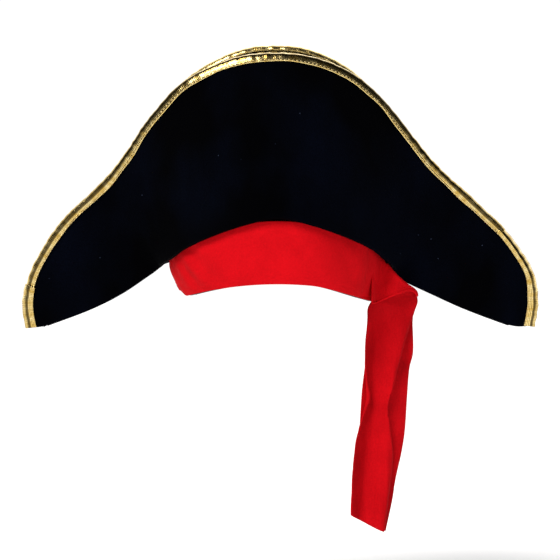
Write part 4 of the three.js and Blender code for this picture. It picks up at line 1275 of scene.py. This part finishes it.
    def front_tail(self) -> None:
        """The front tail: round the diagonal fold, down behind the strip, waisted by a half twist."""
        across = np.linspace(-1, 1, 71)
        level = np.linspace(TAIL_TOP, TAIL_FOOT, self.tail_rows)
        z = self.slanted(level, across)
        x, forward = self.tail_section(by_height(FRONT_TAIL, level), across, self.front_cloth, 2.5)
        loose = smoothstep(-level, 2, 30)[:, None]
        pleat = 0.6 * ripple(across[None, :] * 0.9, level[:, None] / 75, 71)
        pleat = pleat + 0.35 * ripple(across[None, :] * 1.8, level[:, None] / 40, 72)
        y = self.hang(x, self.front_behind) + self.tail_depth(level[:, None], across[None, :])
        y = y - (0.15 * forward + pleat) * loose
        hanging = np.stack([x, y, z], axis=-1)
        fold = self.fold_line((1 - across) / 2 * self.fold_share)
        tangent = unit(np.gradient(fold, axis=0))
        outward = unit(np.cross(tangent, BACKWARD))
        outward = outward * np.where(outward[:, :1] < 0, -1, 1)
        turn = np.linspace(0, math.pi, 11)[:, None, None]
        r = self.fold_radius
        roll = fold[None] + r * (1 - np.cos(turn)) * BACKWARD + 0.75 * r * np.sin(turn) * outward[None]
        steps = np.linspace(0, 1, 26)[1:-1][:, None, None]
        ease = smoothstep(steps, 0, 1)
        first, last = roll[-1][None], hanging[0][None]
        down = first * (1 - steps) + last * steps
        down[..., 1] = (first * (1 - ease) + last * ease)[..., 1]
        points = np.concatenate([roll, down, hanging])
        piece = grid_piece("sash_tail_front_crepe", points, away_from=(90, 300, -60))
        thicken(piece, self.cloth, 0.0)
        Dress(self.wardrobe.red_reverse, "sash", ("sash_tail_front",), body="").put_on(piece)
        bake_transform(piece)

    def back_tail(self) -> None:
        """The back tail, flatter, which lies behind the front one and shows at both its sides."""
        across = np.linspace(-1, 1, 71)
        level = np.linspace(TAIL_TOP, TAIL_FOOT, self.tail_rows)
        z = self.slanted(level, across)
        x, _ = self.tail_section(by_height(BACK_TAIL, level), across, self.back_cloth, 1.6)
        ahead = by_height(FRONT_TAIL, level)
        place = np.clip((2 * x - ahead.sum(axis=1)[:, None]) / (ahead[:, 1:] - ahead[:, :1]), -1.15, 1)
        pleat = 0.5 * (1 + ripple(across[None, :] * 1.1, level[:, None] / 60, 75))
        pleat = pleat * smoothstep(-level, 6, 30)[:, None]
        crease = bell(level[:, None] + 12 * across[None, :], -47, 5) * smoothstep(across, 0.2, 0.7)
        y = self.hang(x, self.back_behind) + self.tail_depth(level[:, None], place) + pleat + 1.6 * crease
        piece = grid_piece("sash_tail_back_crepe", np.stack([x, y, z], axis=-1), away_from=(90, 300, -60))
        thicken(piece, self.cloth, 0.0)
        Dress(self.wardrobe.red_reverse, "sash", ("sash_tail_back",), body="").put_on(piece)
        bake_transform(piece)

    def slanted(self, level: Array, across: Array) -> Array:
        """Heights of a tail's rows, stretched to its slanted end."""
        left, right = TAIL_ENDS
        end = left + (right - left) * smoothstep(across, -1.2, 0.9)
        share = (level - TAIL_TOP) / (TAIL_FOOT - TAIL_TOP)
        return TAIL_TOP + (end[None, :] - TAIL_TOP) * share[:, None]

    def rear_end(self) -> None:
        """The sash's other end, from the back of the head to the tack."""
        share = np.linspace(0, 1, 40)
        centre = along(smooth_line(REAR_ROUTE), share)
        low, high = 0.5 + 7.5 * share, 25 - 3 * share
        up = np.linspace(0, 1, 16)
        z = low[:, None] + (high - low)[:, None] * up[None, :]
        out = unit(np.stack([np.gradient(centre[:, 1]), -np.gradient(centre[:, 0]), np.zeros(40)], axis=-1))
        out = out * np.sign(out[:, :1])
        pleat = 0.5 * np.sin(up[None, :] * 9 + share[:, None] * 3)
        points = centre[:, None] + out[:, None] * pleat[..., None]
        points[..., 2] = z
        piece = grid_piece("sash_rear_end_crepe", points, away_from=(0, 0, 12))
        thicken(piece, 2.0, 0.0)
        Dress(self.wardrobe.red, "sash", ("sash_rear_end",)).put_on(piece)

    def tack(self) -> None:
        """The thread bar that gathers the ends: three strands wound round each other."""
        t = np.linspace(0, 1, 60)
        turn = np.arange(12) * 2 * math.pi / 12
        radius = 0.62 + 0.16 * np.cos(3 * turn[None, :] + t[:, None] * 9)
        x = self.tack_at[0] + radius * np.cos(turn)[None, :]
        z = self.tack_at[2] + radius * np.sin(turn)[None, :]
        y = np.broadcast_to(self.tack_at[1] + self.tack_length * t[:, None], x.shape)
        piece = grid_piece("sash_tack_bar", capped(np.stack([x, y, z], axis=-1)), Weld(columns=True))
        Dress(self.wardrobe.red_thread, "sash_thread", ("sash_tack",)).put_on(piece)


# ------------------------------------------------------------------ studio


@dataclass
class Studio:
    """Floor, soft light and camera."""

    aim: tuple = (0.0017, 0.0, 0.01445)
    distance: float = 2.2
    view_width: float = 0.476
    sensor: float = 36.0
    floor_height: float = -0.26
    floor_glow: float = 0.45
    shown_sky: float = 1.05
    lit_sky: float = 0.21

    def build(self) -> None:
        """Sets the camera, the floor, the sky and the lamps."""
        self.camera()
        self.floor()
        self.sky()
        self.lamp("key_sun", (-1.1, -2.0, 2.1), 3.0, 0.4)
        self.panel("top_panel", (0.0, 1.4, 1.3), 1.2, 8.0)
        self.panel("front_panel", (0.4, -2.2, 0.25), 0.9, 2.5)

    def camera(self) -> None:
        """A level camera straight in front of the hat."""
        data = bpy.data.cameras.new("camera")
        data.sensor_width = self.sensor
        data.lens = self.sensor * self.distance / self.view_width
        camera = bpy.data.objects.new("camera", data)
        camera.location = (self.aim[0], -self.distance, self.aim[2])
        camera.rotation_euler = (math.pi / 2, 0, 0)
        bpy.context.scene.collection.objects.link(camera)
        bpy.context.scene.camera = camera

    def floor(self) -> None:
        """A wide matte floor of white studio paper with a faint mottle."""
        half = 30000.0  # mm, beyond sight in every view
        side = np.linspace(-half, half, 5)
        x, y = np.meshgrid(side, side, indexing="ij")
        points = np.stack([x, y, np.full_like(x, self.floor_height / MM)], axis=-1)
        piece = grid_piece("studio_floor", points, away_from=(0, 0, -2000))
        c = Canvas("studio_paper")
        mottle = c.noise(c.object_at, 400.0, 2)
        paper, relief = c.blend(mottle, "#F1F0EE", "#F5F4F2"), c.bump(mottle, 0.1, 0.1)
        piece.data.materials.append(c.finish(paper, 0.9, relief, Emission_Color=linear_colour("#FFFFFF"),
                                             Emission_Strength=self.floor_glow))

    def sky(self) -> None:
        """A white surround, dimmer as light on the hat.

        In shiny cloth it shows as a studio does: pale low in front, dark above, and white behind.
        """
        world = bpy.data.worlds.new("studio_surround")
        world.use_nodes = True
        tree = world.node_tree
        tree.nodes.clear()
        rays = add_node(tree, "ShaderNodeLightPath").outputs

        def glow(strength: object, colour: str = "#FFFFFF") -> Socket:
            """A background of one colour."""
            inputs = {"Color": linear_colour(colour), "Strength": strength}
            return add_node(tree, "ShaderNodeBackground", inputs).outputs[0]

        def graded(value: Socket, *span: float) -> Socket:
            """A value carried from the first two numbers to the last two."""
            inputs = {"Value": value, **dict(enumerate(span, 1))}
            return add_node(tree, "ShaderNodeMapRange", inputs).outputs[0]

        towards = add_node(tree, "ShaderNodeTexCoord").outputs["Generated"]
        axes = add_node(tree, "ShaderNodeSeparateXYZ", {0: towards}).outputs
        inputs = {0: graded(axes["Z"], 0.08, 0.3, 0.5, 0.02), 1: graded(axes["Y"], 0.05, 0.35, 0.0, 1.5)}
        gleam = glow(add_node(tree, "ShaderNodeMath", inputs, operation="ADD").outputs[0])
        inputs = {0: rays["Is Glossy Ray"], 1: glow(self.lit_sky, "#F8F8FA"), 2: gleam}
        soft = add_node(tree, "ShaderNodeMixShader", inputs).outputs[0]
        inputs = {0: rays["Is Camera Ray"], 1: soft, 2: glow(self.shown_sky)}
        mix = add_node(tree, "ShaderNodeMixShader", inputs)
        add_node(tree, "ShaderNodeOutputWorld", {"Surface": mix.outputs[0]})
        bpy.context.scene.world = world

    def aimed(self, name: str, data: bpy.types.Light, place: tuple) -> None:
        """Puts a lamp at a place, looking at the hat."""
        lamp = bpy.data.objects.new(name, data)
        lamp.location = place
        lamp.rotation_euler = (Vector((0, 0, 0.05)) - Vector(place)).to_track_quat("-Z", "Y").to_euler()
        bpy.context.scene.collection.objects.link(lamp)

    def lamp(self, name: str, place: tuple, strength: float, softness: float) -> None:
        """A broad soft sun, which lights floor and hat evenly."""
        data = bpy.data.lights.new(name, "SUN")
        data.energy = strength
        data.angle = softness
        self.aimed(name, data, place)

    def panel(self, name: str, place: tuple, size: float, power: float) -> None:
        """A square soft box."""
        data = bpy.data.lights.new(name, "AREA")
        data.size = size
        data.energy = power
        self.aimed(name, data, place)


def main() -> None:
    logging.basicConfig(level=logging.INFO, format="%(name)s: %(message)s", force=True)
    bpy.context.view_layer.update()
    Studio().build()
    bpy.context.scene.view_settings.view_transform = "Standard"
    wardrobe = Wardrobe.make()
    shape = HatShape()
    Crown(shape, wardrobe).build()
    Brim(shape, wardrobe).build()
    Sash(shape, wardrobe).build()


if __name__ == "__main__":
    main()
